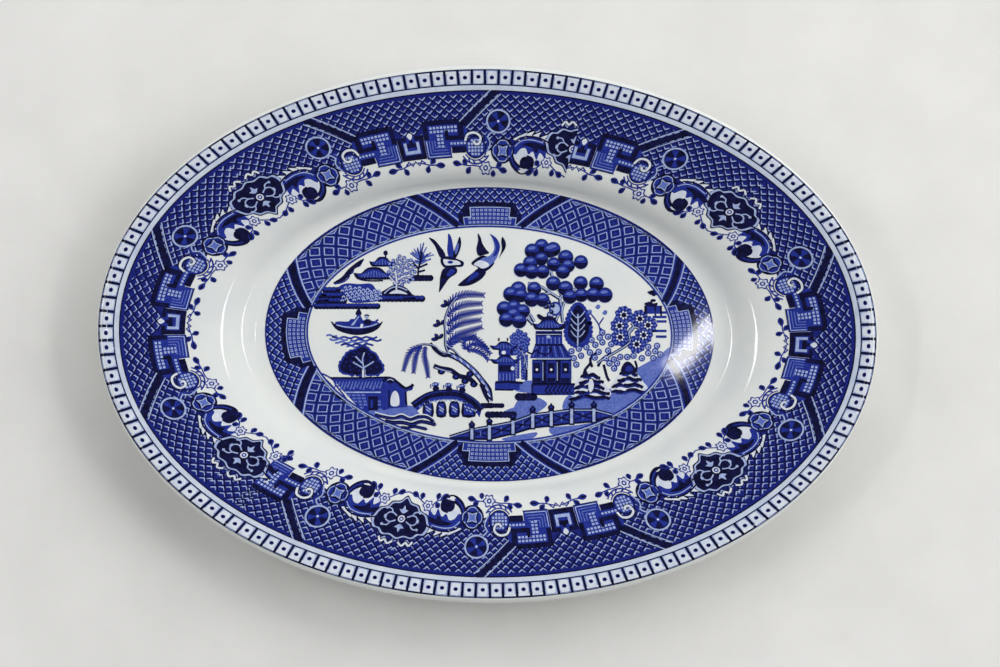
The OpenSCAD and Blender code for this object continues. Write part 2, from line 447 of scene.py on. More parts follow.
# %% Half a repeat of the border
REPEAT = 106.0
HALF = REPEAT / 2
GROUND_EDGE = [(0, -20.6), (4.6, -20.6), (4.6, -17), (17.2, -17), (18.4, -23), (22, -25), (26, -25.4),
    (32.5, -24.4), (34.5, -22), (38, -21), (42, -21.4), (46, -22.6), (HALF, -22.6)]


def tools(s, x=0, side=1):
    """Two short tools that draw on one strip, at a place along it and one way round."""
    def face(key, outline):
        fill(s + " " + key, at(outline, x, 0, side))

    def line(key, points, width):
        pen(s + " " + key, at(points, x, 0, side), width)
    return face, line


def draw_ground(s, at0, side):
    """Scales over a plain ground: an arch of navy and two short light strokes for each."""
    for (x, y), (far, far_y) in zip(GROUND_EDGE, GROUND_EDGE[1:]):
        if far > x:
            fill(s + " DEEP 1", at([(x, BORDER_OUT), (far, BORDER_OUT), (far, far_y), (x, y)], at0, 0,
                side))
    pen(s + " NAVY 2", at([(x, BORDER_OUT - 0.2) for x in np.linspace(0, HALF, 28)], at0, 0, side), 0.45)
    for row in range(14):
        y = BORDER_OUT - 1.5 - row * 1.42
        for col in range(-1, 19):
            x = (col + 0.5 * (row % 2)) * 3.0
            if 0 <= x <= HALF and y > max(height_on(GROUND_EDGE, x), height_on(GROUND_EDGE, x + 1)) + 0.3:
                wob = 0.15 * math.sin(7.3 * row + 3.1 * col + at0)
                cx = at0 + side * x
                pen(s + " NAVY 2", [(cx - 1.5, y + 0.05), (cx, y - 1.42), (cx + 1.5, y + 0.05)], 0.34)
                pen(s + " BLEED 2", [(cx - 0.9 + wob, y + 0.1), (cx - 0.05, y - 0.72)], [0.16, 0.26])
                pen(s + " BLEED 2", [(cx - 0.1, y - 0.74), (cx + 0.9, y + 0.15 + wob)], [0.42, 0.24])


def draw_fret(s, x, side):
    """A block of key fret: black frame, mosaic inside it, and a stepped block of blue under it."""
    face, line = tools(s, x, side)
    face("ROYAL 3", box(4.4, -27.3, 12.8, -17))
    face("ROYAL 3", box(11, -24.2, 18.4, -17))
    face("NAVY 4", box(4.5, -21.4, 6.0, -15.6))
    face("NAVY 4", box(6.0, -17.1, 17.2, -15.5))
    face("NAVY 4", box(15.5, -22.0, 17.3, -17.1))
    face("NAVY 4", box(11.2, -22.0, 15.5, -20.6))
    face("NAVY 4", box(11.2, -20.6, 12.4, -18.9))
    face("NAVY 4", box(13.0, -26.0, 17.6, -24.0))
    for i in range(8):
        for j in range(2):
            face("BLEED 4", box(6.6 + i * 1.12, -18.3 - j * 1.2, 7.35 + i * 1.12, -17.6 - j * 1.15))
    for i in range(2):
        for j in range(4):
            face("BLEED 4", box(8.6 + i * 1.15, -20.8 - j * 1.1, 9.4 + i * 1.15, -20.1 - j * 1.1))
    for i in range(5):
        face("BLEED 4", box(12.7 + i * 1.1, -23.4, 13.4 + i * 1.1, -22.7))
    for d, ink in ((0.0, "BLEED 4"), (0.9, "PALE 4"), (1.8, "PALE 4"), (2.7, "PALE 4")):
        corner = [(5.0 + d, -21.8), (5.0 + d, -26.7 + d), (12.3 - d * 0.4, -26.7 + d)]
        line(ink, corner[:2], 0.3)
        line(ink, corner[1:], 0.3)
    line("NAVY 4", [(4.5, -27.3), (13, -27.3)], 0.25)


def draw_box(s, x):
    """The small box between two blocks of fret."""
    face, line = tools(s)
    face("ROYAL 3", box(x - 4.2, -27.0, x + 4.2, -19.6))
    for b in ((-4.3, -27.1, -2.9, -19.7), (2.9, -27.1, 4.3, -19.7), (-4.3, -27.1, 4.3, -25.5),
            (-4.3, -21.1, -1.3, -19.7), (1.3, -21.1, 4.3, -19.7), (-1.6, -23.2, 1.6, -21.9),
            (-0.6, -22.2, 0.6, -21.0)):
        face("NAVY 4", box(x + b[0], b[1], x + b[2], b[3]))
    for b in ((-2.5, -25.2, -1.6, -21.6), (1.6, -25.2, 2.5, -21.6), (-2.5, -25.2, 2.5, -24.2)):
        face("BLEED 5", box(x + b[0], b[1], x + b[2], b[3]))
    face("WHITE 5", curve([(x - 0.9, -19.5), (x, -20.8), (x + 0.9, -19.5), (x, -18.6)], steps=2))
    line("ROYAL 3", [(x - 3.4, -28.5), (x - 2.2, -27.5), (x - 1.2, -28.9), (x, -27.6), (x + 1.2, -28.9),
        (x + 2.2, -27.5), (x + 3.4, -28.5)], 0.55)


def draw_wheel(s, x):
    """A wheel: dark disc with four blue vanes, a hub and a white eye."""
    face, _ = tools(s)
    cy = -16.4
    face("BLEED 3", disc(x, cy, 3.75, n=28))
    face("NAVY 4", disc(x, cy, 3.2, n=28))
    for k in range(4):
        q = math.tau * k / 4 + 0.5
        face("ROYAL 5", [(x, cy)] + [(x + 2.9 * math.cos(q + d), cy + 2.9 * math.sin(q + d))
            for d in np.linspace(-0.35, 0.35, 5)])
    face("ROYAL 5", disc(x, cy, 0.85, n=12))
    face("WHITE 6", disc(x, cy, 0.34, n=8))


def draw_coin(s, x):
    """A coin: dark ring, four lens-shaped openings, and a hollow-sided square in the middle."""
    face, line = tools(s)
    cy = -25.4
    face("NAVY 3", disc(x, cy, 3.95, n=28))
    for k in range(4):
        q = math.tau * k / 4
        u, v = math.cos(q), math.sin(q)
        lens = [(1.9, -1.9), (3.2, -1.1), (3.35, 0), (3.2, 1.1), (1.9, 1.9), (2.05, 0.9), (1.75, 0),
            (2.05, -0.9)]
        pts = [(x + u * a - v * b, cy + v * a + u * b) for a, b in lens]
        face("ROYAL 4", curve(pts, steps=2))
        line("BLEED 5", curve([(x + u * a - v * b, cy + v * a + u * b)
            for a, b in ((2.1, -1.9), (3.05, -1.0), (3.2, 0), (3.05, 1.0), (2.1, 1.9))], False, 3), 0.28)
    square = []
    for k in range(4):
        q = math.tau * (k + 0.5) / 4
        square += [(x + 2.35 * math.cos(q), cy + 2.35 * math.sin(q)),
            (x + 1.15 * math.cos(q + math.tau / 8), cy + 1.15 * math.sin(q + math.tau / 8))]
    face("BLEED 4", square)
    face("PALE 5", [(x + (px - x) * 0.72, cy + (py - cy) * 0.72) for px, py in square])


def draw_bar(s, x, side):
    """The slanting bar that ends a block of fret."""
    face, line = tools(s, x, side)
    a, b = (17.2, -17.4), (27.6, -7.0)
    nx, ny = 0.707, 0.707
    def off(p, d):
        return (p[0] + nx * d, p[1] - ny * d)
    face("NAVY 5", [off(a, -0.95), off(a, 0.95), off(b, 0.95), off(b, -0.95)])
    for d in (-1.45, 1.45):
        line("BLEED 5", [off(a, d), off(b, d)], 0.34)
        line("NAVY 5", [off(a, d * 1.22), off(b, d * 1.22)], 0.22)


def draw_basket(s, x, side):
    """A scroll of wickerwork with a white curl over it."""
    face, line = tools(s, x, side)
    c = (20.9, -24.4)
    face("NAVY 3", disc(*c, 3.5, n=24))
    face("ROYAL 4", disc(*c, 3.1, n=24))
    for i in range(-2, 3):
        for j in range(-2, 3):
            if i * i + j * j < 6:
                face("BLEED 5", box(c[0] + i * 1.05 - 0.36, c[1] + j * 1.05 - 0.36, c[0] + i * 1.05 + 0.36,
                    c[1] + j * 1.05 + 0.36))
    curl = curve([(17.6, -22.4), (18.6, -20.4), (20.9, -20.0), (22.6, -21.3), (22.2, -23.2), (20.9, -23.4),
        (20.4, -22.5)], False, 4)
    line("NAVY 5", curl, 1.35)
    line("WHITE 6", curl, 0.7)
    for r, w in ((4.0, 0.4), (5.1, 0.5)):
        arc = [(c[0] + r * math.cos(q), c[1] + r * math.sin(q)) for q in np.linspace(-2.6, -0.5, 9)]
        line("ROYAL 3", arc, w)
    for q in (-2.2, -1.8, -1.3, -0.8):
        p, r = (c[0] + 4.2 * math.cos(q), c[1] + 4.2 * math.sin(q)), (c[0] + 5.0 * math.cos(q + 0.2),
            c[1] + 5.0 * math.sin(q + 0.2))
        line("ROYAL 3", [p, r], 0.5)
    line("ROYAL 4", curve([(24.0, -26.5), (25.0, -23.4), (24.3, -21.0), (25.6, -19.4)], False, 4), 0.5)
    line("BLEED 4", curve([(24.7, -26.0), (25.8, -23.2), (25.0, -21.2), (26.2, -19.8)], False, 4), 0.4)


def draw_leaf(s, x, side):
    """The big toothed leaf with its curled stalk."""
    face, line = tools(s, x, side)
    def c(points, steps=4, closed=True):
        return curve(points, closed, steps)
    face("WHITE 2", c([(32.5, -25), (35, -22), (40, -21.5), (46, -23), (47, -26), (42, -29), (38, -31.2),
        (34, -29)], 3))
    face("ROYAL 3", c([(33.0, -24.6), (35.0, -21.9), (38.4, -20.9), (42.0, -21.3), (46.2, -23.0),
        (46.6, -25.0), (44.8, -24.6), (44.6, -26.6), (42.6, -25.2), (41.8, -27.4), (40.2, -25.0),
        (38.8, -26.0), (37.6, -24.2), (35.9, -24.6), (34.4, -26.4)]))
    face("NAVY 4", c([(36.4, -23.2), (39.5, -22.2), (43.5, -22.8), (45.6, -23.8), (44.0, -24.6),
        (42.0, -24.0), (41.4, -25.4), (39.6, -23.8)]))
    line("NAVY 5", c([(32.6, -24.8), (34.8, -21.7), (38.4, -20.5), (42.4, -20.9), (46.8, -22.6)], 4, False),
        0.5)
    line("BLEED 5", c([(34.0, -23.9), (36.0, -22.1), (39.2, -21.5), (43.0, -22.0)], 4, False), 0.3)
    for i, (px, py) in enumerate(((34.6, -20.9), (36.5, -19.9), (38.6, -19.3), (40.8, -19.4), (43.0, -20.0),
            (45.0, -20.9))):
        face("WHITE 4", c([(px - 1.3, py - 0.9), (px - 0.3, py - 0.1), (px + 1.1, py + 0.5),
            (px + 0.5, py - 0.7), (px + 1.0, py - 1.2)], 3))
        face("NAVY 3", c([(px - 1.7, py - 0.9), (px - 0.4, py + 0.3), (px + 1.5, py + 1.0),
            (px + 1.0, py - 0.8), (px + 1.2, py - 1.5)], 3))
    stalk = curve([(33.4, -23.6), (32.9, -26.5), (34.3, -29.4), (37.2, -31.0), (39.8, -29.9), (40.0, -27.8),
        (38.2, -27.2)], False, 5)
    n = len(stalk)
    line("NAVY 4", stalk, [0.9 + 1.5 * math.sin(math.pi * min(i / n, 0.75)) for i in range(n)])
    line("ROYAL 5", stalk[:n // 2], 0.5)
    face("NAVY 5", disc(38.1, -28.6, 1.9, n=18))


def draw_medallion(s, x):
    """A lobed shield with a small flower and four curled sprigs."""
    face, line = tools(s)
    cy = -22.6
    lobes = [(0, 6.3), (2.2, 5.4), (4.6, 5.6), (6.2, 4.2), (7.9, 3.9), (8.9, 1.8), (8.4, -0.4), (7.4, -2.2),
        (5.4, -3.0), (4.2, -4.6), (1.8, -5.2), (0, -6.9)]
    ring = lobes + [(-u, v) for u, v in lobes[-2:0:-1]]
    for ink, k in (("NAVY 3", 1.1), ("BLEED 4", 1.03), ("NAVY 5", 0.95)):
        face(ink, curve([(x + u * k, cy + v * k) for u, v in ring], steps=4))
    face("WHITE 6", disc(x, cy, 1.15, n=14))
    face("ROYAL 7", disc(x, cy, 0.75, n=12))
    face("WHITE 8", disc(x, cy, 0.36, n=8))
    for sx in (-1, 1):
        for sy in (-1, 1):
            stem = curve([(x + sx * 1.7, cy + sy * 0.7), (x + sx * 3.3, cy + sy * 1.5),
                (x + sx * 4.6, cy + sy * 1.2), (x + sx * 5.2, cy + sy * 0.2)], False, 4)
            line("BLEED 6", stem, 0.4)
            line("BLEED 6", curve([(x + sx * 3.2, cy + sy * 1.4), (x + sx * 4.0, cy + sy * 2.6),
                (x + sx * 5.4, cy + sy * 2.8)], False, 4), 0.4)
            for px, py in ((5.3, 0.2), (5.6, 2.7)):
                face("BLEED 6", disc(x + sx * px, cy + sy * py, 0.45, n=10))
    for sy in (-1, 1):
        face("BLEED 6", curve([(x - 1.5, cy + sy * 2.9), (x, cy + sy * 1.7), (x + 1.5, cy + sy * 2.9),
            (x + 0.6, cy + sy * 3.0), (x, cy + sy * 4.3), (x - 0.6, cy + sy * 3.0)], steps=3))
    for sx in (-1, 1):
        curl = curve([(x + sx * 0.8, cy + 7.3), (x + sx * 2.2, cy + 8.3), (x + sx * 3.2, cy + 7.2),
            (x + sx * 4.3, cy + 8.0), (x + sx * 5.2, cy + 6.6)], False, 4)
        line("NAVY 3", curl, 1.15)
        line("WHITE 4", curl, 0.6)


def draw_flower(s, x, y, r=2.1):
    """A six-lobed flower with a white face and a blue eye."""
    face, _ = tools(s)
    def lobed(k):
        return [(x + r * k * (0.86 + 0.14 * math.cos(6 * q)) * math.cos(q),
            y + r * k * (0.86 + 0.14 * math.cos(6 * q)) * math.sin(q))
            for q in np.linspace(0, math.tau, 37)[:-1]]
    face("ROYAL 5", lobed(1.12))
    face("WHITE 6", lobed(0.86))
    face("ROYAL 7", disc(x, y, r * 0.42, n=12))
    face("WHITE 8", disc(x, y, r * 0.2, n=8))


def draw_fringe(s, x, side):
    """Sprigs that hang from the border into the plain part of the plate."""
    face, line = tools(s, x, side)
    def twig(points, width=0.38):
        line("ROYAL 3", curve(points, False, 4), width)
    def leaves(*spots):
        for px, py, qx, qy in spots:
            face("ROYAL 4", leaf(px, py, qx, qy, 1.85))
            face("NAVY 5", leaf(px + (qx - px) * 0.25, py + (qy - py) * 0.25, px + (qx - px) * 0.9,
                py + (qy - py) * 0.9, 0.8))
    twig([(0.8, -28.0), (3.0, -28.6), (5.2, -29.2), (7.2, -29.2)])
    leaves((6.6, -29.3, 10.1, -29.6), (5.0, -28.9, 6.9, -27.2), (4.4, -29.2, 3.4, -31.4))
    twig([(14.2, -29.2), (17.5, -29.9), (20.5, -30.0), (24.2, -30.6), (28, -30.6), (30.5, -31.2)])
    leaves((16.0, -29.6, 12.8, -28.8), (17.6, -29.9, 16.6, -27.9), (19.0, -30.3, 17.4, -32.3),
        (28.8, -30.9, 32.0, -31.6), (28.0, -30.6, 29.9, -29.0), (27.0, -31.2, 27.0, -33.3))
    draw_flower(s, x + side * 24.3, -30.7)
    twig([(40.2, -30.2), (42.4, -29.8), (44.4, -28.0), (46.6, -28.4), (49.5, -30.2), (HALF, -31.4)])
    leaves((41.6, -30.2, 38.9, -32.2), (42.6, -30.0, 42.2, -32.4), (43.0, -29.4, 41.6, -27.6),
        (49.2, -30.2, 51.6, -31.6), (48.0, -29.6, 48.0, -31.9))
    draw_flower(s, x + side * 45.4, -27.9, 1.8)


def draw_half(s, x, side):
    """Everything in half a repeat, one way round."""
    draw_ground(s, x, side)
    draw_fret(s, x, side)
    draw_bar(s, x, side)
    draw_wheel(s, x + side * 28.2)
    draw_leaf(s, x, side)
    draw_basket(s, x, side)
    draw_coin(s, x + side * 30.0)
    draw_fringe(s, x, side)


# %% Lay out the two lengths of border
strips = {"left": (-331.0, -107.0, (-372, -266, -160, -54)), "right": (-107.0, 208.0, (-104, 2, 108, 214))}
for key, (low, high, frets) in strips.items():
    for x in frets:
        draw_box(key, x)
        for side in (-1, 1):
            if low - HALF < x + side * HALF / 2 < high + HALF:
                draw_half(key, x, side)
        if low - 10 < x + HALF < high + 10:
            draw_medallion(key, x + HALF)
    if frets[0] - HALF > low - 10:
        draw_medallion(key, frets[0] - HALF)
print("sheets so far:", len(sheets))

# %% [markdown]
# The band in the well is a lattice of diamonds, broken in four places by a stepped panel with a
# slanting bar on each side of it and a little scale ground over it. It's drawn as another strip,
# with x along the middle of the band and y outwards from its inner line.

# %% Draw the band round the well
MID_L, MID_W, BAND_DEEP, MID_DEEP = 64.0, 40.2, 13.2, 6.6
WELL_X, WELL_Y = 0.6, 0.4
to_band, BAND_ROUND = oval_wrap(MID_L, MID_W, 0.938)


def on_band(x, y):
    """Lays the strip round the well; the tissue crept along by a millimetre or two while it was laid."""
    crept = 1.5 + np.cos(4 * np.pi * x / BAND_ROUND)
    px, py = to_band(x - crept, y - MID_DEEP)
    return px + WELL_X, py + WELL_Y


QUARTER = BAND_ROUND / 4
LATTICE = QUARTER / 16


def bar_reach(y):
    """How far from a panel's middle its slanting bar stands, at a height in the band."""
    return 10.7 + 11.4 * y / BAND_DEEP


def draw_panel(x):
    """A stepped black frame round a small mosaic."""
    for step, top in ((10.5, 4.7), (8.7, 6.2), (8.0, 8.2)):
        fill("band NAVY 6", box(x - step, 0.5, x + step, top))
    for step, top in ((8.9, 3.4), (6.5, 6.6)):
        fill("band BLEED 7", box(x - step, 0.7, x + step, top))
    for step, top in ((8.65, 3.1), (6.2, 6.3)):
        fill("band ROYAL 8", box(x - step, 0.7, x + step, top))
    for row in range(4):
        wide = 8.5 if row < 2 else 6.0
        for i in range(-6, 7):
            px, py = x + i * 1.36, 1.4 + row * 1.35
            if abs(i * 1.36) < wide - 0.4:
                fill("band BLEED 9", box(px - 0.42, py - 0.38, px + 0.42, py + 0.38))
                fill("band ROYAL 10", disc(px, py, 0.24, n=6))


long_line("band DEEP 5", BAND_DEEP - 0.2, 0.6, 0, BAND_ROUND)
long_line("band ROYAL 5", -0.1, 0.5, 0, BAND_ROUND)
long_line("band BLEED 5", 0.42, 0.4, 0, BAND_ROUND)
for i in range(110):
    fill("band ROYAL 1", box(i * BAND_ROUND / 110, 0, (i + 1) * BAND_ROUND / 110, BAND_DEEP))
for k in range(4):
    middle = k * QUARTER
    draw_panel(middle)
    for side in (-1, 1):
        foot, head = (middle + side * 10.9, 0.5), (middle + side * 22.3, BAND_DEEP)
        for d, w, ink in ((0, 2.1, "NAVY 6"), (-1.75, 0.4, "BLEED 6"), (1.75, 0.4, "BLEED 6"),
                (-1.3, 0.5, "ROYAL 6"), (1.3, 0.5, "ROYAL 6")):
            pen("band " + ink, [(foot[0] + d * 1.15, foot[1]), (head[0] + d * 1.15, head[1])], w)
    for row in range(1, 9):
        y = BAND_DEEP - row * 1.5
        for col in range(-11, 12):
            x = (col + 0.5 * (row % 2)) * 2.6
            if abs(x) < bar_reach(y) - 1.0 and y > 4:
                wob = 0.12 * math.sin(5.1 * row + 2.7 * col)
                pen("band NAVY 2", [(middle + x - 1.3, y + 1.5), (middle + x, y),
                    (middle + x + 1.3, y + 1.5)], 0.36)
                pen("band BLEED 3", [(middle + x - 0.8, y + 1.6 + wob), (middle + x, y + 0.7),
                    (middle + x + 0.85, y + 1.65)], [0.2, 0.4, 0.3])
for i in range(64):
    for row in range(-1, 6):
        x, y = (i + 0.5 * (row % 2)) * LATTICE, 1.3 + row * 3.0
        middle = round(x / QUARTER) * QUARTER
        if abs(x - middle) < bar_reach(y) + 1.2:
            continue
        def diamond(k, drop=0.0):
            return [(x - k * LATTICE / 2, y + drop), (x, y + 3.0 * k + drop),
                (x + k * LATTICE / 2, y + drop), (x, y - 3.0 * k + drop)]
        inside = [(px, min(max(py, 0.3), BAND_DEEP - 0.5)) for px, py in diamond(1.0)]
        pen("band NAVY 2", inside, 0.34, True)
        if 1.5 < y < BAND_DEEP - 1.5:
            pen("band BLEED 3", diamond(0.66), 0.36, True)
            fill("band DEEP 4", diamond(0.52))
            fill("band ROYAL 5", diamond(0.2, -0.2))
        else:
            pen("band BLEED 3", [(px, min(max(py, 0.9), BAND_DEEP - 1)) for px, py in diamond(0.66)], 0.34,
                True)
print("band:", round(BAND_ROUND), "mm round, diamonds", round(LATTICE, 2), "mm apart")

# %% [markdown]
# Inside the band is a river scene of the traditional willow kind, redrawn here in plain shapes: two
# birds, a far island, a boat, a round tree over a wall and gate, a willow, a bridge with three
# small walkers, pavilions, a fruit tree, blossom, rocks and a fence. It's drawn in millimetres, and
# lies on the flat floor of the well a little off the middle and a degree askew, as tissue does.

# %% Helpers for the scene
SKEW = math.radians(1)


def on_floor(x, y):
    return x - 1.3 - SKEW * y, y + 0.7 + SKEW * x


def tally():
    """Number of shapes drawn so far, over all sheets."""
    return sum(len(sheet["fills"]) + len(sheet["lines"]) for sheet in sheets.values())


def v(ink, points):
    """Fills an outline of the landscape, level included in the ink."""
    fill("view " + ink, points)


def smooth(ink, points, steps=5):
    """Fills a rounded outline through a few points."""
    v(ink, curve(points, steps=steps))


def stroke(ink, points, width, smooth=True):
    pen("view " + ink, curve(points, False, 3) if smooth and len(points) > 2 else points, width)


def lumps(x0, x1, y, r, inks=("NAVY 2", "ROYAL 3")):
    """A cloud-edged bar of ground: a row of round lumps, darker below."""
    n = max(round(abs(x1 - x0) / (r * 1.15)), 1)
    for i in range(n + 1):
        x = x0 + (x1 - x0) * i / n
        v(inks[0], disc(x, y - r * 0.12, r * 1.08, r * 1.0, n=10))
        if inks[1]:
            v(inks[1], disc(x, y + r * 0.25, r * 0.66, r * 0.5, n=8))
    v(inks[0] + ".5", box(min(x0, x1), y - r * 0.7, max(x0, x1), y + r * 0.3))


LEAFLET_GAP = 0.84


def frond(points, width):
    """A drooping willow leaf: a stem with a row of short leaflets on each side."""
    spine = curve(points, False, 4)
    far = np.concatenate([[0], np.cumsum(np.hypot(*np.diff(np.array(spine).T, axis=1)))])
    n = max(int(far[-1] / LEAFLET_GAP), 3)
    for i in range(n + 1):
        d = far[-1] * i / n
        x, y = np.interp(d, far, [p[0] for p in spine]), np.interp(d, far, [p[1] for p in spine])
        ahead = min(d + 0.3, far[-1])
        dx = np.interp(ahead, far, [p[0] for p in spine]) - np.interp(ahead - 0.3, far,
            [p[0] for p in spine])
        dy = np.interp(ahead, far, [p[1] for p in spine]) - np.interp(ahead - 0.3, far,
            [p[1] for p in spine])
        q = math.atan2(dy, dx)
        w = width * (0.75 + 0.35 * math.sin(math.pi * min(0.1 + i / n, 1)))
        for side in (-1, 1):
            lean = q + side * 0.8
            pen("view DEEP 3" if (2 * i + (side > 0)) % 5 == 0 else "view ROYAL 2",
                [(x, y), (x + w * math.cos(lean), y + w * math.sin(lean))], [0.62, 0.34])
    pen("view ROYAL 3", spine, 0.42)


def ball(x, y, r):
    """A round fruit: dark below, blue above, with a pale light on top."""
    v("BLEED 4", disc(x, y, r * 1.06, n=20))
    v("NAVY 5", disc(x, y, r, n=20))
    smooth("ROYAL 6", [(x - r * 0.86, y + r * 0.05), (x - r * 0.6, y + r * 0.66), (x, y + r * 0.9),
        (x + r * 0.6, y + r * 0.66), (x + r * 0.86, y + r * 0.05), (x + r * 0.3, y - r * 0.12),
        (x - r * 0.3, y - r * 0.06)], steps=3)
    v("PALE 7", disc(x - r * 0.06, y + r * 0.4, r * 0.5, r * 0.22, n=10, turn=0.1))


def ring(x, y, r, inks):
    v(inks[0], disc(x, y, r, n=12))
    v(inks[1], disc(x, y, r * 0.62, n=10))
    v(inks[2], disc(x + r * 0.1, y - r * 0.1, r * 0.3, n=8))


def roof(x0, x1, y0, y1, curl):
    """A tiled roof seen from the front, its eaves curling up."""
    w, h = x1 - x0, y1 - y0
    shape = curve([(x0 - curl, y0 + h * 0.55), (x0 - curl * 0.3, y0 + h * 0.1), (x0 + w * 0.12, y0),
        (x1 - w * 0.12, y0), (x1 + curl * 0.3, y0 + h * 0.1), (x1 + curl, y0 + h * 0.55),
        (x1 - w * 0.1, y0 + h * 0.52), (x0 + w * 0.68, y1), (x0 + w * 0.32, y1),
        (x0 + w * 0.1, y0 + h * 0.52)], steps=3)
    v("NAVY 3", shape)
    cx, cy = (x0 + x1) / 2, (y0 + y1) / 2
    v("ROYAL 4", [(cx + (px - cx) * 0.84, cy + (py - cy) * 0.62) for px, py in shape])
    ribs = int(w / 0.95)
    for i in range(1, ribs):
        px = x0 + w * i / ribs
        lean = (px - cx) * 0.25
        pen("view PALE 5", [(px, y0 + h * 0.2), (px - lean, y1 - h * (0.25 + abs(px - cx) / w * 0.7))],
            0.26)


def stones(x, y, w, h, rows):
    """Layered rocks: a white hump crossed by wavy ledges, dark along their tops and blue below."""
    smooth("WHITE 2", [(x - w * 0.46, y - h * 0.5), (x - w * 0.4, y - h * 0.1),
        (x - w * 0.24, y + h * 0.26), (x - w * 0.04, y + h * 0.44), (x + w * 0.2, y + h * 0.3),
        (x + w * 0.38, y - h * 0.06), (x + w * 0.48, y - h * 0.5)], steps=4)
    for i in range(rows):
        t = i / (rows - 1)
        half, cy = w * (0.25 + 0.27 * t), y + h * (0.3 - 0.8 * t)
        ledge = [(x + half * k + 0.5 * math.sin(i * 2.6), cy - k * k * h * 0.11
            + 0.3 * math.sin(k * 6 + i * 2.3)) for k in np.linspace(-1, 1, 9)]
        stroke("NAVY 4", ledge, [0.2, 0.7, 1.0, 1.1, 0.9, 1.0, 1.2, 0.9, 0.5, 0.2] + [1.0] * 16)
        stroke("ROYAL 3", at(ledge[1:-1], 0, -0.5), 0.8)


print("helpers for the scene")

# %% [markdown]
# Far things come first. The two birds are rounded patches, dark at the wing and pale at the breast.
# The island is a few cloud-edged bars of ground, with a bush, a tiled house and two trees whose
# leaves are rings set out on a spiral, because a spiral fills a round crown evenly.

# %% Birds and the far island
# bird on the left, wings up
smooth("NAVY 3", [(-17.2, 30.0), (-15.4, 29.3), (-13.4, 27.0), (-12.2, 25.2), (-11.9, 23.2), (-13.6, 23.8),
    (-14.5, 25.6), (-15.4, 27.6)])
smooth("ROYAL 3", [(-11.1, 31.3), (-10.2, 30.4), (-9.7, 28.2), (-9.2, 25.4), (-8.6, 23.6), (-10.6, 23.4),
    (-11.4, 26), (-11.2, 29)])
smooth("NAVY 4", [(-7.5, 30.4), (-7.0, 28.6), (-7.3, 26.5), (-8.3, 24.2), (-9.6, 23.2), (-9.2, 26),
    (-8.4, 28)])
smooth("PALE 5", [(-8.0, 28.4), (-7.8, 27), (-8.6, 24.8), (-9.0, 26.2)])
smooth("NAVY 4", [(-13.2, 23.9), (-10.6, 24.1), (-8.2, 23.3), (-6.3, 22.4), (-6.5, 21.0), (-8.5, 20.7),
    (-11.6, 20.3), (-13.3, 21.8)])
smooth("WHITE 5", [(-12.6, 23.2), (-10.3, 23.0), (-8.0, 22.7), (-7.2, 21.6), (-9.6, 21.4), (-12.0, 21.4)])
v("ROYAL 6", disc(-10.4, 22.3, 0.9, 0.5, n=10))
smooth("NAVY 4", [(-12.4, 20.3), (-8.8, 20.6), (-8.4, 18.9), (-10.7, 17.2), (-12.3, 15.0), (-13.9, 12.8),
    (-13.8, 15), (-13.5, 18)])
smooth("ROYAL 5", [(-10.2, 20.2), (-8.9, 19.4), (-10.6, 17.9), (-11.6, 18.3)])
# bird on the right, wings back
smooth("NAVY 4", [(-1.8, 31.4), (-0.9, 30.2), (-0.3, 28.2), (0.9, 26.3), (1.8, 25.2), (0.2, 24.6),
    (-1.6, 24.4), (-2.2, 26.5), (-1.7, 29)])
smooth("PALE 3", [(2.2, 31.1), (3.4, 30), (4.9, 27.6), (4.6, 24.6), (3.0, 22.0), (0.2, 20.3), (-1.8, 21.2),
    (-0.6, 23.4), (2.0, 24.4), (3.4, 26.6), (3.0, 29.2)])
smooth("ROYAL 4", [(2.0, 31.2), (3.2, 29.4), (3.9, 26.6), (2.9, 24.0), (4.7, 25.2), (5.2, 27.6), (4.0, 30)])
smooth("NAVY 5", [(6.0, 30.3), (7.0, 28.6), (6.9, 26.8), (5.6, 24.6), (4.9, 23.4), (5.8, 26.4),
    (5.6, 28.8)])
smooth("NAVY 2", [(-3.8, 21.8), (-2.4, 23.4), (0.2, 24.4), (3.4, 22.6), (2.2, 20.4), (-0.4, 19.0),
    (-1.8, 20.6)])
smooth("WHITE 5", [(-3.0, 21.6), (-1.2, 22.9), (1.0, 22.3), (1.8, 21.2), (-0.2, 20.3), (-1.6, 20.9)])
v("NAVY 6", disc(-2.9, 22.3, 0.35, n=8))
smooth("NAVY 3", [(-1.2, 20.6), (0.8, 19.4), (-0.2, 17.4), (-2.8, 15.6), (-5.4, 14.8), (-8.0, 14.9),
    (-6.4, 16.6), (-3.8, 18.6)])
smooth("ROYAL 4", [(-3.0, 19.2), (-1.4, 18.8), (-2.2, 17.6), (-5.2, 16.0), (-4.2, 17.8)])
# dark bough that follows the band, and the lumps of ground under it
smooth("NAVY 3", [(-47.4, 15.7), (-44.6, 17.6), (-42.6, 20.0), (-39.7, 22.4), (-37.6, 23.4), (-38.6, 21.6),
    (-40.9, 19.8), (-42.6, 17.6), (-44.4, 16.2)])
for pts in ([(-38.0, 23.2), (-38.9, 21.2), (-40.6, 20.6), (-41.2, 19.0), (-42.6, 18.4)],
        [(-42.2, 18.9), (-42.4, 17.4), (-44.2, 16.0), (-47.0, 15.4)]):
    stroke("ROYAL 3", pts, 0.45)
for x0, x1, y in ((-49.6, -44.5, 13.6), (-51.2, -44.0, 11.9), (-52.0, -44.0, 10.2)):
    lumps(x0, x1, y, 1.1)
lumps(-52.4, -33.4, 8.5, 1.0)
lumps(-32.6, -19.4, 10.9, 1.1)
lumps(-22.4, -16.8, 17.4, 1.05, ("NAVY 2", None))
smooth("NAVY 3", [(-32.5, 11.8), (-30.6, 13.8), (-27.6, 15.2), (-24.6, 14.4), (-22.4, 12.2), (-22.0, 11.6)])
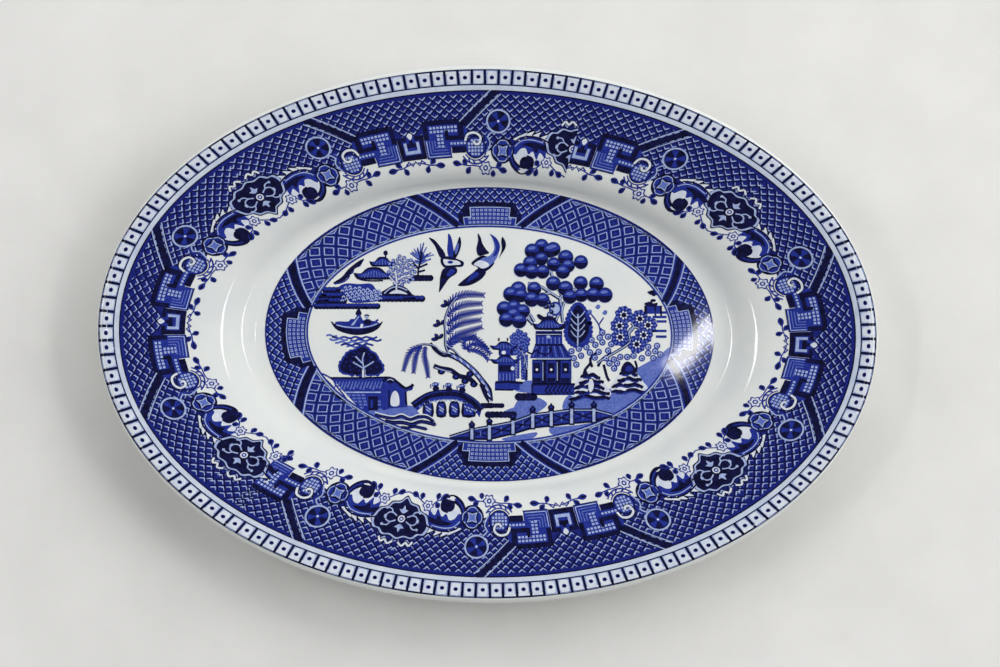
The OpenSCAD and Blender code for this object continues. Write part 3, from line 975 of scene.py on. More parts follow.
smooth("WHITE 4", [(-29.6, 12.4), (-27.4, 13.6), (-25.2, 13.0), (-24.0, 12.2), (-26.8, 12.4)])
stroke("BLEED 4", [(-31.2, 12.4), (-29.2, 14.1), (-26.8, 14.5), (-24.0, 13.4)], 0.36)
# pale bush in front
smooth("ROYAL 3", [(-45.4, 14.4), (-43.0, 15.6), (-39.0, 15.4), (-35.4, 15.5), (-33.6, 13.6), (-31.6, 12.6),
    (-32.4, 10.4), (-36.0, 9.6), (-41.6, 9.6), (-43.2, 11.8)])
for i in range(46):
    x, y = -44.4 + (i * 0.27) + 0.3 * math.sin(i * 5.0), 10.2 + 4.9 * ((i * 0.618) % 1.0) * (1.0 - i / 130)
    stroke("BLEED 4", [(x - 0.45, y - 0.25), (x, y + 0.32), (x + 0.5, y - 0.2)], 0.36)
# house on the island
v("NAVY 3", disc(-30.8, 25.2, 0.72, 0.8, n=12))
stroke("NAVY 3", [(-30.8, 24.6), (-30.8, 23.6)], 0.45)
roof(-35.0, -28.6, 20.9, 23.9, 0.9)
roof(-39.6, -29.4, 16.8, 20.6, 1.2)
stroke("NAVY 4", [(-40.4, 18.6), (-38.9, 16.9), (-35.5, 16.4), (-31.6, 16.5)], 0.5)
# trees on the island
for i in range(44):
    q, r = i * 2.4, 0.72 * math.sqrt(i)
    x, y = -25.6 + r * 0.95 * math.cos(q), 19.6 + r * 1.02 * math.sin(q)
    ring(x, y, 0.62, ("ROYAL 4", "BLEED 5", "PALE 6"))
for pts in ([(-27.4, 13.6), (-27.2, 16.4), (-27.6, 19.0)], [(-27.2, 16.4), (-24.8, 17.8), (-22.6, 17.4)],
        [(-27.4, 15.4), (-29.6, 18.0)]):
    stroke("WHITE 7", pts, 0.55)
    stroke("ROYAL 8", at(pts, 0.3, -0.05), 0.18)
for i in range(30):
    q = 0.15 + i * 0.094
    r = 2.9 + 1.3 * math.sin(i * 2.2)
    x, y = -19.8 + 0.3 * math.cos(q * 3), 22.6 + 0.9 * math.sin(i * 1.7)
    stroke("PALE 3" if i % 2 else "ROYAL 3", [(x, y), (x + r * math.cos(q) * 1.05,
        y + r * 1.25 * math.sin(q))], [0.6, 0.35])
for pts in ([(-20.6, 18.0), (-20.4, 20.4), (-19.6, 23.4), (-19.4, 25.6)], [(-20.4, 20.2), (-22.2, 22.2)],
        [(-20.2, 20.6), (-17.6, 21.8)], [(-20.4, 19.2), (-18.4, 19.8)]):
    stroke("NAVY 5", pts, 0.6)
print("shapes so far:", tally())

# %% [markdown]
# A boat with a cabin lies on a few ripples. Below it stand a round tree, whose edge is a row of dots
# along its own outline, and a tiled wall with a gate, at the water's wavy edge.

# %% Boat, round tree, wall and gate
smooth("NAVY 3", [(-48.0, 3.7), (-46.6, 1.4), (-43.8, 0.0), (-39.8, -0.7), (-35.8, -0.1), (-33.0, 1.4),
    (-31.6, 3.7), (-33.2, 2.6), (-36.0, 1.6), (-40.0, 1.1), (-44.0, 1.6), (-46.6, 2.8)])
smooth("ROYAL 2", [(-46.6, 2.9), (-45.8, 3.6), (-42.6, 3.6), (-41.4, 4.4), (-37.6, 4.0), (-33.6, 3.6),
    (-32.8, 2.4), (-36.0, 1.2), (-40.0, 0.8), (-44.0, 1.2)])
stroke("BLEED 4", [(-46.2, 2.5), (-43.6, 1.9), (-39.6, 1.6), (-35.6, 2.1), (-33.4, 2.9)], 0.34)
smooth("NAVY 3", [(-40.2, 6.2), (-39.2, 7.7), (-38.3, 6.2), (-38.8, 5.4), (-39.7, 5.4)])
v("ROYAL 3", [(-39.4, 5.8), (-38.8, 5.8), (-37.0, 2.2), (-42.2, 2.2)])
v("BLEED 4", [(-39.3, 5.2), (-39.0, 5.2), (-40.8, 2.4), (-41.7, 2.4)])
v("NAVY 5", disc(-36.4, 3.4, 1.25, 1.0, n=12))
v("BLEED 5", disc(-36.7, 4.9, 0.6, n=10))
stroke("NAVY 6", [(-37.4, 5.4), (-36.6, 5.7), (-35.9, 5.3)], 0.4)
stroke("ROYAL 3", [(-35.2, 2.2), (-33.6, 3.8), (-33.0, 4.1)], 0.6)
stroke("WHITE 5", [(-38.5, 1.6), (-38.1, 2.8)], 0.8)
for i, (x0, x1, y) in enumerate(((-49.4, -46.0, -0.9), (-47.6, -33.4, -1.5), (-48.4, -42.6, -2.1),
        (-41.8, -32.0, -2.3), (-46.6, -36.4, -3.0), (-44.8, -34.6, -3.7), (-43.0, -38.0, -4.3))):
    n = int((x1 - x0) / 1.1)
    stroke("ROYAL 2" if i % 2 else "PALE 2", [(x0 + (x1 - x0) * k / n, y + 0.28 * math.sin(k * 2.1 + i))
        for k in range(n + 1)], 0.62)
crown = curve([(-45.0, -10.4), (-44.2, -8.9), (-43.2, -7.2), (-41.8, -6.0), (-39.8, -5.4), (-38.4, -4.4),
    (-36.8, -4.8), (-35.6, -6.0), (-34.0, -6.9), (-33.2, -8.6), (-32.2, -9.8), (-31.8, -11.6),
    (-33.4, -12.9), (-36.4, -13.0), (-39.8, -13.2), (-43.2, -12.6), (-44.6, -11.8)], steps=3)
v("NAVY 3", crown)
for i, (x, y) in enumerate(crown):
    v("ROYAL 2", disc(x + 0.15 * math.sin(i * 2.3), y, 0.72 + 0.12 * math.sin(i * 3.7), n=8))
for i in range(28):
    q, k = i * 2.4, 0.95 * math.sqrt(i)
    v("DEEP 4", disc(-38.6 + 1.15 * k * math.cos(q), -9.4 + 0.68 * k * math.sin(q), 0.34, n=7))
for pts in ([(-37.6, -13.8), (-37.6, -11.0), (-38.0, -8.4), (-37.4, -6.2)], [(-37.7, -11.2), (-41.0, -9.2)],
        [(-37.6, -11.0), (-34.4, -9.0)], [(-37.8, -9.8), (-40.2, -7.4)]):
    stroke("BLEED 5", pts, 0.42)
stroke("WHITE 6", [(-37.6, -14.0), (-37.6, -11.6)], 1.0)
stroke("ROYAL 7", [(-37.25, -14.0), (-37.4, -11.6)], 0.25)
v("ROYAL 2", [(-48.2, -14.3), (-29.6, -14.1), (-28.2, -15.0), (-29.0, -18.4), (-43.6, -18.8),
    (-46.0, -16.0)])
stroke("NAVY 3", [(-48.2, -14.2), (-39.0, -14.2), (-29.8, -14.0)], 0.6, False)
for i in range(17):
    x = -46.0 + i * 1.02
    pen("view PALE 3", [(x, -15.3), (x - 0.9, -17.6 + 0.4 * math.sin(i * 2))], [0.3, 0.55])
v("ROYAL 2", [(-43.6, -18.6), (-31.6, -18.6), (-31.6, -24.6), (-36.0, -25.2), (-38.6, -24.2)])
stroke("BLEED 3", [(-43.6, -18.7), (-32.0, -18.7)], 0.4, False)
for row in range(6):
    y = -19.6 - row * 0.98
    x0 = -42.8 + row * 1.0
    for k in range(8):
        x = x0 + k * 1.5 + 0.7 * (row % 2)
        if x < -32.8 and not (-36.9 < x + 0.5 < -32.8):
            fill("view PALE 3", box(x, y - 0.34, min(x + 1.12, -36.3 if x < -36.5 else 0), y + 0.24))
v("NAVY 4", box(-36.1, -24.4, -33.1, -20.0))
v("ROYAL 5", box(-35.5, -23.6, -34.6, -21.0))
smooth("ROYAL 4", [(-31.8, -24.0), (-32.2, -18.4), (-30.6, -15.0), (-28.6, -14.0), (-26.6, -15.4),
    (-24.4, -17.0), (-22.2, -16.6), (-22.4, -18.0), (-24.2, -18.8), (-23.8, -23.0), (-24.6, -23.4),
    (-29.2, -23.8)])
stroke("NAVY 5", [(-31.6, -15.2), (-29.4, -14.2), (-27.0, -15.6), (-24.6, -17.4), (-22.8, -16.9),
    (-22.0, -16.2)], 0.9)
stroke("NAVY 5", [(-24.4, -18.6), (-24.2, -22.6)], 0.6)
stroke("NAVY 5", [(-29.6, -18.0), (-29.6, -23.4)], 0.5)
v("NAVY 5", disc(-29.2, -15.2, 1.1, 0.8, n=10))
stroke("BLEED 6", [(-30.2, -14.9), (-29.2, -14.6), (-28.2, -15.1)], 0.3)
smooth("WHITE 6", [(-29.0, -22.8), (-28.9, -19.6), (-27.7, -18.2), (-26.6, -19.6), (-26.5, -22.8)], steps=3)
smooth("PALE 2", [(-36.0, -24.6), (-31.6, -23.6), (-28.6, -22.2), (-26.0, -23.0), (-22.4, -23.0),
    (-20.2, -25.2), (-19.0, -27.0), (-24.0, -27.6), (-30.0, -27.0), (-34.0, -26.4)])
for wave, w in (([(-34.0, -25.7), (-31.0, -26.5), (-28.0, -26.9), (-25.6, -26.2), (-23.0, -27.3),
        (-20.4, -26.4), (-17.6, -26.6), (-15.6, -28.0)], 1.0), ([(-30.8, -27.7), (-28.4, -28.2),
        (-25.4, -28.2), (-22.4, -28.8), (-19.4, -27.9), (-15.0, -28.9)], 1.2),
        ([(-25.8, -29.7), (-23.8, -29.9), (-21.6, -29.5), (-17.8, -30.3)], 1.0)):
    stroke("WHITE 4", at(wave, 0, 0.62), 0.55)
    stroke("NAVY 5", wave, w)
    stroke("ROYAL 6", at(wave, 0.4, -0.1), 0.22)
smooth("NAVY 3", [(-51.2, -13.2), (-48.6, -15.2), (-46.2, -18.0), (-43.4, -21.4), (-45.8, -20.4),
    (-48.6, -17.6)])
stroke("ROYAL 3", [(-50.6, -12.8), (-47.4, -14.6), (-46.2, -16.6), (-44.0, -19.4), (-42.6, -21.4)], 0.5)
print("shapes so far:", tally())

# %% [markdown]
# The willow's trunk is one line whose width swells. Its hanging leaves are stems with many short
# leaflets, so that the white between them shows. The bridge is a deck with four dark arches under
# it, and the walkers on it are no more than blots of ink, as on most such prints.

# %% Willow and bridge
trunk = [(2.2, -21.6), (1.4, -18.2), (-0.8, -14.6), (-3.4, -11.6), (-7.4, -8.4), (-10.8, -6.8)]
stroke("NAVY 3", trunk, [1.7, 1.9, 2.2, 2.6, 2.4, 2.0] + [1.8] * 10)
for d, ink, w in ((0.0, "PALE 4", 1.1), (-0.5, "NAVY 5", 0.35), (0.55, "NAVY 5", 0.35)):
    stroke(ink, at(trunk, d, d * 0.8), w)
for i in range(9):
    t = i / 9
    x, y = np.interp(t * 5, range(6), [p[0] for p in trunk]), np.interp(t * 5, range(6),
        [p[1] for p in trunk])
    stroke("WHITE 5", [(x + 0.3, y - 0.4), (x - 0.5, y + 0.7)], 0.3)
for pts in ([(-10.8, -6.8), (-12.0, -4.0), (-12.0, 0.0), (-12.2, 4.0), (-10.6, 8.4), (-8.4, 11.2)],
        [(-10.4, -6.6), (-13.4, -6.0), (-15.4, -4.2), (-18.4, -3.6), (-20.6, -4.0)],
        [(-7.0, -8.2), (-9.2, -5.6), (-11.4, -4.2)]):
    stroke("NAVY 3", pts, 0.75)
    stroke("BLEED 5", at(pts, 0.12, 0.1), 0.26)
stroke("NAVY 4", [(-16.6, -3.2), (-15.2, -5.4), (-12.6, -7.2), (-10.2, -7.0)], 0.9)
for y0, x0, y1, w in ((11.6, -0.3, 11.9, 1.35), (8.4, -1.0, 9.2, 1.3), (5.4, -0.9, 6.7, 1.3),
        (2.8, -1.3, 4.0, 1.25), (-0.4, -0.9, 1.7, 1.25), (-2.0, -2.8, -1.0, 1.2)):
    frond([(-11.2, y0 - 3.2), (-9.2, y0 - 0.7), (-5.4, y0 + 0.6), (x0, y1)], w + 0.3)
for pts in ([(-5.8, -5.2), (-6.2, -2.8), (-4.4, -1.6), (-1.4, -2.4), (1.0, -4.8)],
        [(-5.4, -5.2), (-3.6, -3.4), (-0.6, -4.0), (2.0, -6.4)], [(-5.0, -5.6), (-2.6, -5.4), (0.2, -6.8),
        (1.4, -8.4)]):
    frond(pts, 1.3)
for pts in ([(-19.4, -4.2), (-22.6, -5.4), (-24.0, -8.2), (-25.0, -11.6)],
        [(-19.6, -4.2), (-21.2, -7.0), (-21.6, -9.4), (-21.9, -12.2)],
        [(-18.2, -4.4), (-18.6, -7.4), (-17.8, -10.6), (-17.4, -13.6)]):
    frond(pts, 1.3)
for x, y in ((-12.0, 8.8), (-14.4, 2.6), (-14.9, -1.8)):
    for q in (0.6, 1.7, 2.6):
        v("NAVY 4", leaf(x + 0.9, y - 0.2, x + 0.9 + 2.5 * math.cos(q + 0.4),
            y - 0.2 + 2.5 * math.sin(q + 0.4) - 0.4, 1.25))
        stroke("ROYAL 5", [(x + 0.8 + math.cos(q + 0.4), y - 0.3 + math.sin(q + 0.4)),
            (x + 0.7 + 2 * math.cos(q + 0.4), y - 0.4 + 2 * math.sin(q + 0.4))], 0.3)
stroke("NAVY 4", [(-15.6, -10.4), (-13.4, -11.2), (-10.2, -11.8), (-7.6, -13.6), (-4.4, -14.4),
    (-2.2, -16.6)], 1.5)
stroke("BLEED 5", [(-15.2, -10.9), (-12.8, -11.7), (-10.0, -12.3)], 0.3)
for x, y in ((-13.2, -12.2), (-8.6, -13.8), (-5.8, -15.2), (-3.0, -16.2), (-4.2, -13.0)):
    v("NAVY 4", disc(x, y, 1.2, 1.0, n=10))
    v("ROYAL 5", disc(x, y, 0.5, n=8))
stroke("NAVY 4", [(-0.6, -16.0), (0.8, -19.4), (2.0, -21.4)], 1.5)
deck = [(-22.2, -22.9), (-19.6, -21.0), (-16.6, -19.5), (-12.6, -18.9), (-8.4, -19.0), (-5.2, -20.2),
    (-2.4, -22.2), (-0.6, -24.4)]
under = [(x * 0.94 - 0.6, y - 2.2) for x, y in deck]
v("ROYAL 2", curve(deck, False) + curve(under, False)[::-1])
stroke("NAVY 4", deck, 2.1)
stroke("ROYAL 5", at(deck, 0.3, 0.5), 0.35)
for k in range(12):
    x = -19.6 + k * 1.55
    y = height_on(deck, x) - 1.9
    stroke("BLEED 4", [(x - 0.5, y), (x, y - 0.7), (x + 0.5, y)], 0.3)
for x0, x1 in ((-18.8, -15.8), (-14.6, -11.8), (-10.6, -7.6), (-6.6, -2.6)):
    smooth("NAVY 3", [(x0, -26.4), (x1, -26.4), (x1 + 0.2, -23.4), (x1 - 0.5, -21.6), (x0 + 0.5, -21.6),
        (x0 - 0.2, -23.4)], steps=2)
    v("ROYAL 4", box(x0 + 0.5, -25.8, x1 - 0.5, -22.2))
    for k in range(5):
        x, y = x0 + 0.9 + k * (x1 - x0 - 1.8) / 4, -23.0 - 1.7 * ((k * 0.618) % 1)
        stroke("BLEED 5", [(x - 0.3, y), (x + 0.3, y - 0.5)], 0.34)
for x, y in ((-14.9, -17.6), (-10.8, -17.8), (-6.6, -18.1)):
    v("NAVY 5", disc(x, y, 1.05, 0.95, n=10))
    v("ROYAL 4", disc(x - 0.2, y + 1.3, 1.15, 0.8, n=10))
    for dx in (-0.8, 0.0, 0.9):
        v("BLEED 5", disc(x + dx, y + 1.5 + 0.2 * dx, 0.32, n=7))
    stroke("ROYAL 5", [(x - 1.6, y + 0.2), (x - 1.7, y + 1.4)], 0.35)
lumps(1.6, 9.4, -25.6, 1.1, ("NAVY 3", None))
lumps(-0.2, 2.4, -22.8, 0.9, ("NAVY 3", None))
print("shapes so far:", tally())

# %% [markdown]
# The pavilions are boxes of wall and window under roofs with curled eaves. A mottled bush stands
# between them: each dot of it has a level of its own, since dots that overlap at one height would
# show black where they meet.

# %% Pavilions and the teahouse
for x0, x1, y0, y1 in ((3.2, 9.6, -5.4, -2.8), (3.4, 10.2, -9.8, -7.0)):
    roof(x0, x1, y0, y1, 1.2)
v("ROYAL 3", box(4.8, -7.2, 9.4, -5.0))
v("NAVY 4", box(4.8, -6.6, 5.4, -5.2))
v("NAVY 4", box(8.6, -6.6, 9.2, -5.2))
v("WHITE 5", disc(6.4, -6.2, 0.7, 0.6, n=10))
stroke("NAVY 4", [(4.8, -2.6), (4.9, -1.6)], 0.5)
stroke("NAVY 4", [(7.6, -2.6), (7.6, -1.6)], 0.5)
v("ROYAL 3", box(4.6, -15.4, 10.2, -9.4))
v("NAVY 4", box(4.8, -12.2, 9.0, -10.2))
v("WHITE 5", disc(9.2, -11.2, 0.65, n=10))
for i in range(5):
    stroke("PALE 4", [(5.2 + i * 1.05, -15.2), (5.2 + i * 1.05, -12.8)], 0.3)
stroke("NAVY 5", [(3.8, -15.6), (8.0, -15.4), (12.4, -15.8)], 0.8, False)
v("ROYAL 2", box(3.6, -18.0, 11.4, -15.6))
stroke("NAVY 3", [(3.6, -17.9), (9.4, -18.0)], 0.5, False)
smooth("PALE 0", [(9.6, -16.4), (15.6, -15.0), (15.4, -19.6), (18.6, -21.2), (13.6, -24.6), (8.2, -26.6),
    (6.6, -24.6), (12.8, -22.2), (14.2, -19.2), (10.4, -18.4)], steps=3)
for i in range(44):
    q, k = i * 2.4, math.sqrt(i / 44)
    x, y = 11.4 + 2.9 * k * math.cos(q), -3.2 + 4.0 * k * math.sin(q)
    v(f"ROYAL {0.5 + 0.013 * i:.3f}", disc(x, y, 0.75, n=8))
    v("PALE 2", disc(x - 0.15, y + 0.2, 0.34, n=7))
for i in range(26):
    x, y = 12.2 + 1.5 * math.sin(i * 2.1), -7.0 - i * 0.3
    v(f"ROYAL {0.5 + 0.013 * i:.3f}", disc(x, y, 0.62, n=8))
    v("PALE 2", disc(x - 0.1, y + 0.15, 0.28, n=6))
stroke("NAVY 4", [(11.6, -4.6), (13.0, -8.0), (13.6, -11.4), (13.4, -14.8)], 0.5)
stroke("BLEED 5", [(12.0, -5.6), (13.2, -8.4), (13.8, -11.6)], 0.25)
stroke("ROYAL 4", [(12.4, -7.4), (10.8, -9.0)], 0.4)
stroke("ROYAL 4", [(13.4, -9.6), (11.8, -12.4)], 0.4)
stroke("NAVY 5", [(13.8, -6.0), (15.4, -6.6), (16.6, -5.4), (17.8, -6.4), (20.2, -6.8), (21.2, -5.4),
    (20.4, -4.6)], 0.5)
v("ROYAL 3", box(16.4, -3.6, 24.8, 0.6))
roof(16.4, 24.8, 0.9, 4.6, 0.9)
stroke("NAVY 5", [(17.2, 5.8), (18.0, 4.6), (20.4, 4.8), (22.6, 4.4)], [1.0] * 4 + [0.8] * 8)
v("NAVY 6", leaf(17.0, 5.9, 19.4, 3.8, 1.3))
v("NAVY 6", leaf(26.2, 2.3, 23.2, 1.0, 1.1))
v("NAVY 6", disc(20.6, 4.6, 1.5, 0.8, n=10))
v("NAVY 4", box(16.6, -1.0, 24.6, 0.3))
v("BLEED 5", disc(20.4, -1.3, 0.7, 0.5, n=10))
for i in range(6):
    v("PALE 5", box(17.2 + i * 1.3, -3.4, 17.55 + i * 1.3, -1.4))
stroke("BLEED 5", [(16.6, -0.5), (24.4, -0.5)], 0.25, False)
v("ROYAL 3", [(16.4, -3.4), (25.0, -3.4), (27.9, -8.0), (14.6, -8.0)])
stroke("NAVY 5", [(16.2, -3.8), (24.8, -3.8)], 0.6, False)
stroke("BLEED 6", [(16.6, -8.1), (27.4, -8.1)], 0.35, False)
for i in range(10):
    stroke("NAVY 4" if i % 2 else "PALE 4", [(16.8 + i * 0.9, -4.2), (15.6 + i * 1.22, -7.6)], 0.3)
smooth("ROYAL 4", [(24.6, -4.0), (26.0, -6.4), (28.4, -7.4), (27.2, -8.4), (24.8, -7.0)], steps=3)
v("NAVY 3", box(15.4, -16.0, 27.6, -8.4))
for x in (16.8, 21.3, 25.8):
    v("ROYAL 4", box(x - 1.5, -15.6, x + 1.5, -8.8))
    v("NAVY 5", box(x - 1.05, -12.8, x + 1.05, -9.5))
    v("NAVY 5", box(x - 1.3, -15.5, x + 1.3, -14.2))
    v("WHITE 6", disc(x, -11.6, 0.42, n=8))
    stroke("BLEED 6", [(x + 1.9, -9.2), (x + 1.9, -15.0)], 0.25, False)
v("ROYAL 2", box(15.2, -19.6, 28.6, -16.1))
stroke("NAVY 3", [(15.2, -16.2), (28.8, -16.2)], 0.7, False)
stroke("NAVY 3", [(15.3, -16.3), (15.3, -19.4), (21.4, -19.4)], 0.5, False)
for i in range(7):
    x = 19.4 + i * 1.25
    stroke("NAVY 4", [(x + 1.1, -16.6), (x, -18.2), (x + 1.1, -19.4)], 0.55, False)

# %% [markdown]
# The fruit tree is the darkest thing in the scene: double lines for its boughs, and balls that are
# navy below and blue above, with a pale light on top.

# %% The fruit tree
for pts in ([(22.0, 0.6), (23.0, 4.6), (24.4, 7.4), (24.0, 10.8), (25.6, 12.6)],
        [(25.0, 3.2), (24.6, 6.6), (25.4, 9.8)], [(24.2, 10.6), (21.0, 12.6), (17.2, 15.0), (14.0, 15.6)],
        [(21.0, 12.6), (18.8, 12.2), (16.8, 12.4)], [(25.6, 12.4), (28.4, 13.6), (32.0, 14.0)],
        [(24.4, 12.2), (21.8, 17.4), (20.6, 21.0), (20.4, 24.4)], [(20.6, 19.6), (17.6, 21.8),
        (14.4, 21.6)], [(20.8, 20.4), (24.2, 21.6), (27.8, 22.0)], [(15.6, 2.6), (12.8, 5.4), (9.6, 6.4),
        (8.6, 8.0)], [(16.0, 3.4), (14.2, 6.2), (11.8, 7.0)]):
    stroke("NAVY 2", pts, 1.05)
    stroke("BLEED 3", at(pts, 0.15, 0.1), 0.42)
for x, y, r in ((22.6, 7.6, 2.3), (19.6, 8.6, 1.1), (21.0, 5.6, 1.2)):
    v("ROYAL 3", disc(x, y, r * 0.9, r, n=14))
    v("BLEED 4", disc(x, y, r * 0.62, r * 0.7, n=12))
for x, y in ((19.9, 8.2), (21.4, 6.6), (21.8, 8.6), (20.6, 9.6)):
    v("NAVY 5", disc(x, y, 0.75, n=9))
    v("PALE 6", disc(x - 0.15, y + 0.2, 0.28, n=7))
for x, y in ((18.3, 27.5), (21.0, 26.0), (15.4, 25.8), (22.0, 26.4), (18.2, 23.4), (25.9, 23.8),
        (30.7, 22.3), (26.6, 21.2), (22.2, 21.6), (14.8, 22.0), (11.8, 19.8), (15.2, 19.4), (18.6, 19.3),
        (25.0, 19.3), (22.0, 15.6), (11.0, 13.8), (8.6, 12.2), (16.0, 13.9), (11.8, 11.8), (15.2, 10.6),
        (18.6, 10.4), (25.8, 14.0), (30.6, 15.7), (35.6, 15.4), (27.2, 11.4), (30.8, 11.9), (34.6, 12.0),
        (38.2, 11.9), (6.6, 7.6), (9.6, 8.2), (12.4, 6.8), (9.4, 5.8), (7.2, 4.2), (11.2, 3.8)):
    ball(x, y, 2.3 + 0.12 * math.sin(x * 3))
print("shapes so far:", tally())

# %% [markdown]
# Right of the pavilion stand a tree shaped like one leaf, and sprays of blossom. Each large flower
# is a wavy disc with rays, a dark ring and a white star, worked out from its middle alone.

# %% Leaf tree, blossom and chrysanthemums
smooth("ROYAL 2", [(29.7, 9.6), (31.6, 8.2), (32.8, 5.6), (34.0, 2.6), (33.8, -0.4), (32.6, -2.6),
    (30.4, -4.0), (29.4, -4.6), (28.0, -3.2), (26.2, -1.6), (25.9, 1.4), (26.8, 5.0), (27.8, 8.0)])
smooth("NAVY 3", [(29.7, 8.8), (31.2, 7.6), (32.2, 5.0), (33.2, 2.4), (33.0, -0.2), (32.0, -2.0),
    (30.3, -3.2), (29.3, -3.6), (28.2, -2.6), (26.8, -1.2), (26.6, 1.4), (27.6, 4.8), (28.4, 7.4)])
for i in range(30):
    q = i * math.tau / 30
    v("ROYAL 2", disc(29.8 + 3.9 * math.sin(q) * (1 - 0.25 * math.cos(q)), 2.4 + 6.6 * math.cos(q), 0.75,
        n=8))
stroke("BLEED 4", [(29.7, 6.0), (29.8, 2.0), (29.6, -4.4)], 0.45)
for y in (4.6, 2.4, 0.4, -1.6):
    for side in (-1, 1):
        stroke("BLEED 4", [(29.7, y), (29.7 + side * 1.3, y + 1.0), (29.7 + side * 2.2, y + 2.3)], 0.3)
for pts in ([(36.8, -1.0), (36.4, 2.2), (34.6, 5.0), (33.4, 6.4)], [(36.2, 2.4), (37.8, 4.8)],
        [(37.6, -0.4), (36.9, 1.6)]):
    stroke("ROYAL 3", pts, 0.45)
for x, y in ((33.4, 6.6), (36.0, 8.2), (38.2, 6.4)):
    smooth("PALE 2", [(x - 0.8, y - 0.2), (x, y + 0.8), (x + 0.8, y + 0.2), (x + 0.2, y - 0.8)], steps=3)
for x, y in ((44.2, 5.6), (49.2, 4.4), (42.8, 2.2), (51.8, 2.4), (43.0, -1.4), (50.4, -0.7), (48.2, -3.6)):
    v("ROYAL 3", [(x + (2.8 + 0.25 * math.cos(9 * q)) * math.cos(q),
        y + (2.8 + 0.25 * math.cos(9 * q)) * math.sin(q)) for q in np.linspace(0, math.tau, 37)[:-1]])
    for k in range(11):
        q = k * math.tau / 11
        pen("view PALE 4", [(x + 1.75 * math.cos(q), y + 1.75 * math.sin(q)),
            (x + 2.5 * math.cos(q), y + 2.5 * math.sin(q))], [0.35, 0.6])
        v("DEEP 5", disc(x + 2.0 * math.cos(q + 0.28), y + 2.0 * math.sin(q + 0.28), 0.24, n=6))
    v("DEEP 5", disc(x, y, 1.5, n=12))
    for k in range(7):
        q = k * math.tau / 7
        pen("view WHITE 6", [(x, y), (x + 1.35 * math.cos(q), y + 1.35 * math.sin(q))], [0.9, 0.4])
    v("NAVY 7", disc(x, y, 0.8, n=10))
for pts in ([(45.6, -0.2), (47.2, 1.6), (46.6, 3.2)], [(46.2, -2.6), (45.8, 0.4), (47.4, 1.8), (49.0, 1.4)],
        [(35.8, -9.6), (37.2, -8.6), (40.6, -6.6), (44.0, -4.6), (46.0, -3.0)]):
    stroke("NAVY 5", pts, 0.95)
    stroke("BLEED 6", pts, 0.32)
blossom = ((27.7, -5.8), (30.0, -5.0), (32.4, -4.5), (28.4, -8.0), (30.7, -7.2), (33.5, -6.2),
    (29.2, -10.0), (37.4, 0.1), (36.6, -1.5), (39.2, -1.2), (37.4, -3.0), (40.2, -3.6), (35.2, -3.8),
    (39.2, -5.6), (34.0, -2.2), (38.6, -8.0), (41.0, -8.4), (39.6, -9.6), (42.0, -9.6), (41.1, -11.2),
    (43.0, -7.6), (45.2, -7.6), (47.2, -7.2), (49.8, -8.0), (51.8, -6.4), (54.0, -5.8), (55.6, -6.8),
    (53.4, -8.0), (54.6, -4.1), (51.8, -4.4), (36.2, -6.0), (35.0, -7.8))
for x, y in blossom:
    ring(x, y, 1.05, ("ROYAL 4", "BLEED 5", "ROYAL 6"))
for pts in ([(34.2, -10.8), (33.6, -8.2), (35.6, -6.2)], [(36.0, -10.6), (37.4, -8.2), (40.4, -6.4)],
        [(33.8, -9.4), (31.8, -11.8)], [(37.8, -10.0), (38.8, -13.8), (39.6, -15.2)]):
    stroke("NAVY 3", pts, 0.85)
smooth("NAVY 3", [(34.0, -14.8), (32.6, -12.4), (32.2, -10.6), (31.2, -13.2)], steps=3)

# %% [markdown]
# The pagoda stands at the very edge of the scene. The ground is a pale wash below all else, and the
# rocks are white humps crossed by ledges.

# %% The pagoda at the edge, rocks and ground
for x0, x1, y in ((51.6, 55.4, 12.2), (50.6, 54.8, 8.6)):
    smooth("NAVY 3", [(x0, y + 0.7), (x0 + 1.0, y - 0.2), (x1 - 0.6, y - 0.3), (x1, y + 0.9),
        (x1 - 1.4, y + 0.7), ((x0 + x1) / 2, y + 1.3)], steps=3)
v("NAVY 3", disc(53.6, 12.4, 0.8, 0.9, n=10))
v("NAVY 3", disc(53.4, 10.2, 0.9, 0.5, n=10))
v("ROYAL 2", box(51.0, 6.0, 56.0, 8.6))
for x, w in ((50.6, 0.9), (53.8, 0.6), (55.6, 0.6)):
    v("NAVY 3", box(x, 4.8, x + w, 8.6))
for x0, y in ((54.0, 6.4), (53.2, 5.0), (54.4, 3.6), (53.2, 0.6), (54.2, -1.2)):
    v("ROYAL 3", box(x0, y - 0.4, 57.6, y + 0.4))
smooth("PALE 0", [(58.4, -4.6), (55.6, -6.8), (51.0, -9.6), (45.0, -13.0), (40.0, -17.4), (32.0, -19.6),
    (26.8, -19.6), (24.8, -23.2), (26.6, -27.0), (34.0, -28.0), (41.6, -26.6), (49.0, -20.6), (55.0, -13.6),
    (58.4, -7.0)], steps=3)
stones(33.6, -15.8, 12.5, 8.4, 5)
stones(45.6, -14.6, 11.5, 7.0, 4)
smooth("NAVY 4", [(43.4, -12.4), (44.0, -9.8), (45.6, -9.0), (47.2, -10.4), (48.2, -12.4)], steps=3)
smooth("ROYAL 5", [(44.6, -12.0), (45.2, -10.4), (46.6, -10.6), (46.8, -12.0)], steps=3)
stroke("NAVY 4", [(47.6, -8.8), (48.2, -10.8), (47.4, -12.8)], 0.7)
smooth("WHITE 6", [(33.4, -14.6), (33.0, -17.0), (33.6, -18.8), (34.6, -17.2), (34.4, -15.0)], steps=3)
smooth("PALE 1", [(12.0, -19.8), (17.6, -20.6), (20.0, -22.6), (16.0, -25.6), (10.0, -28.0), (8.6, -26.0)],
    steps=3)
smooth("PALE 1", [(21.0, -29.8), (28.0, -29.2), (35.0, -28.3), (31.0, -30.2), (26.0, -31.6), (21.6, -32.0)],
    steps=3)
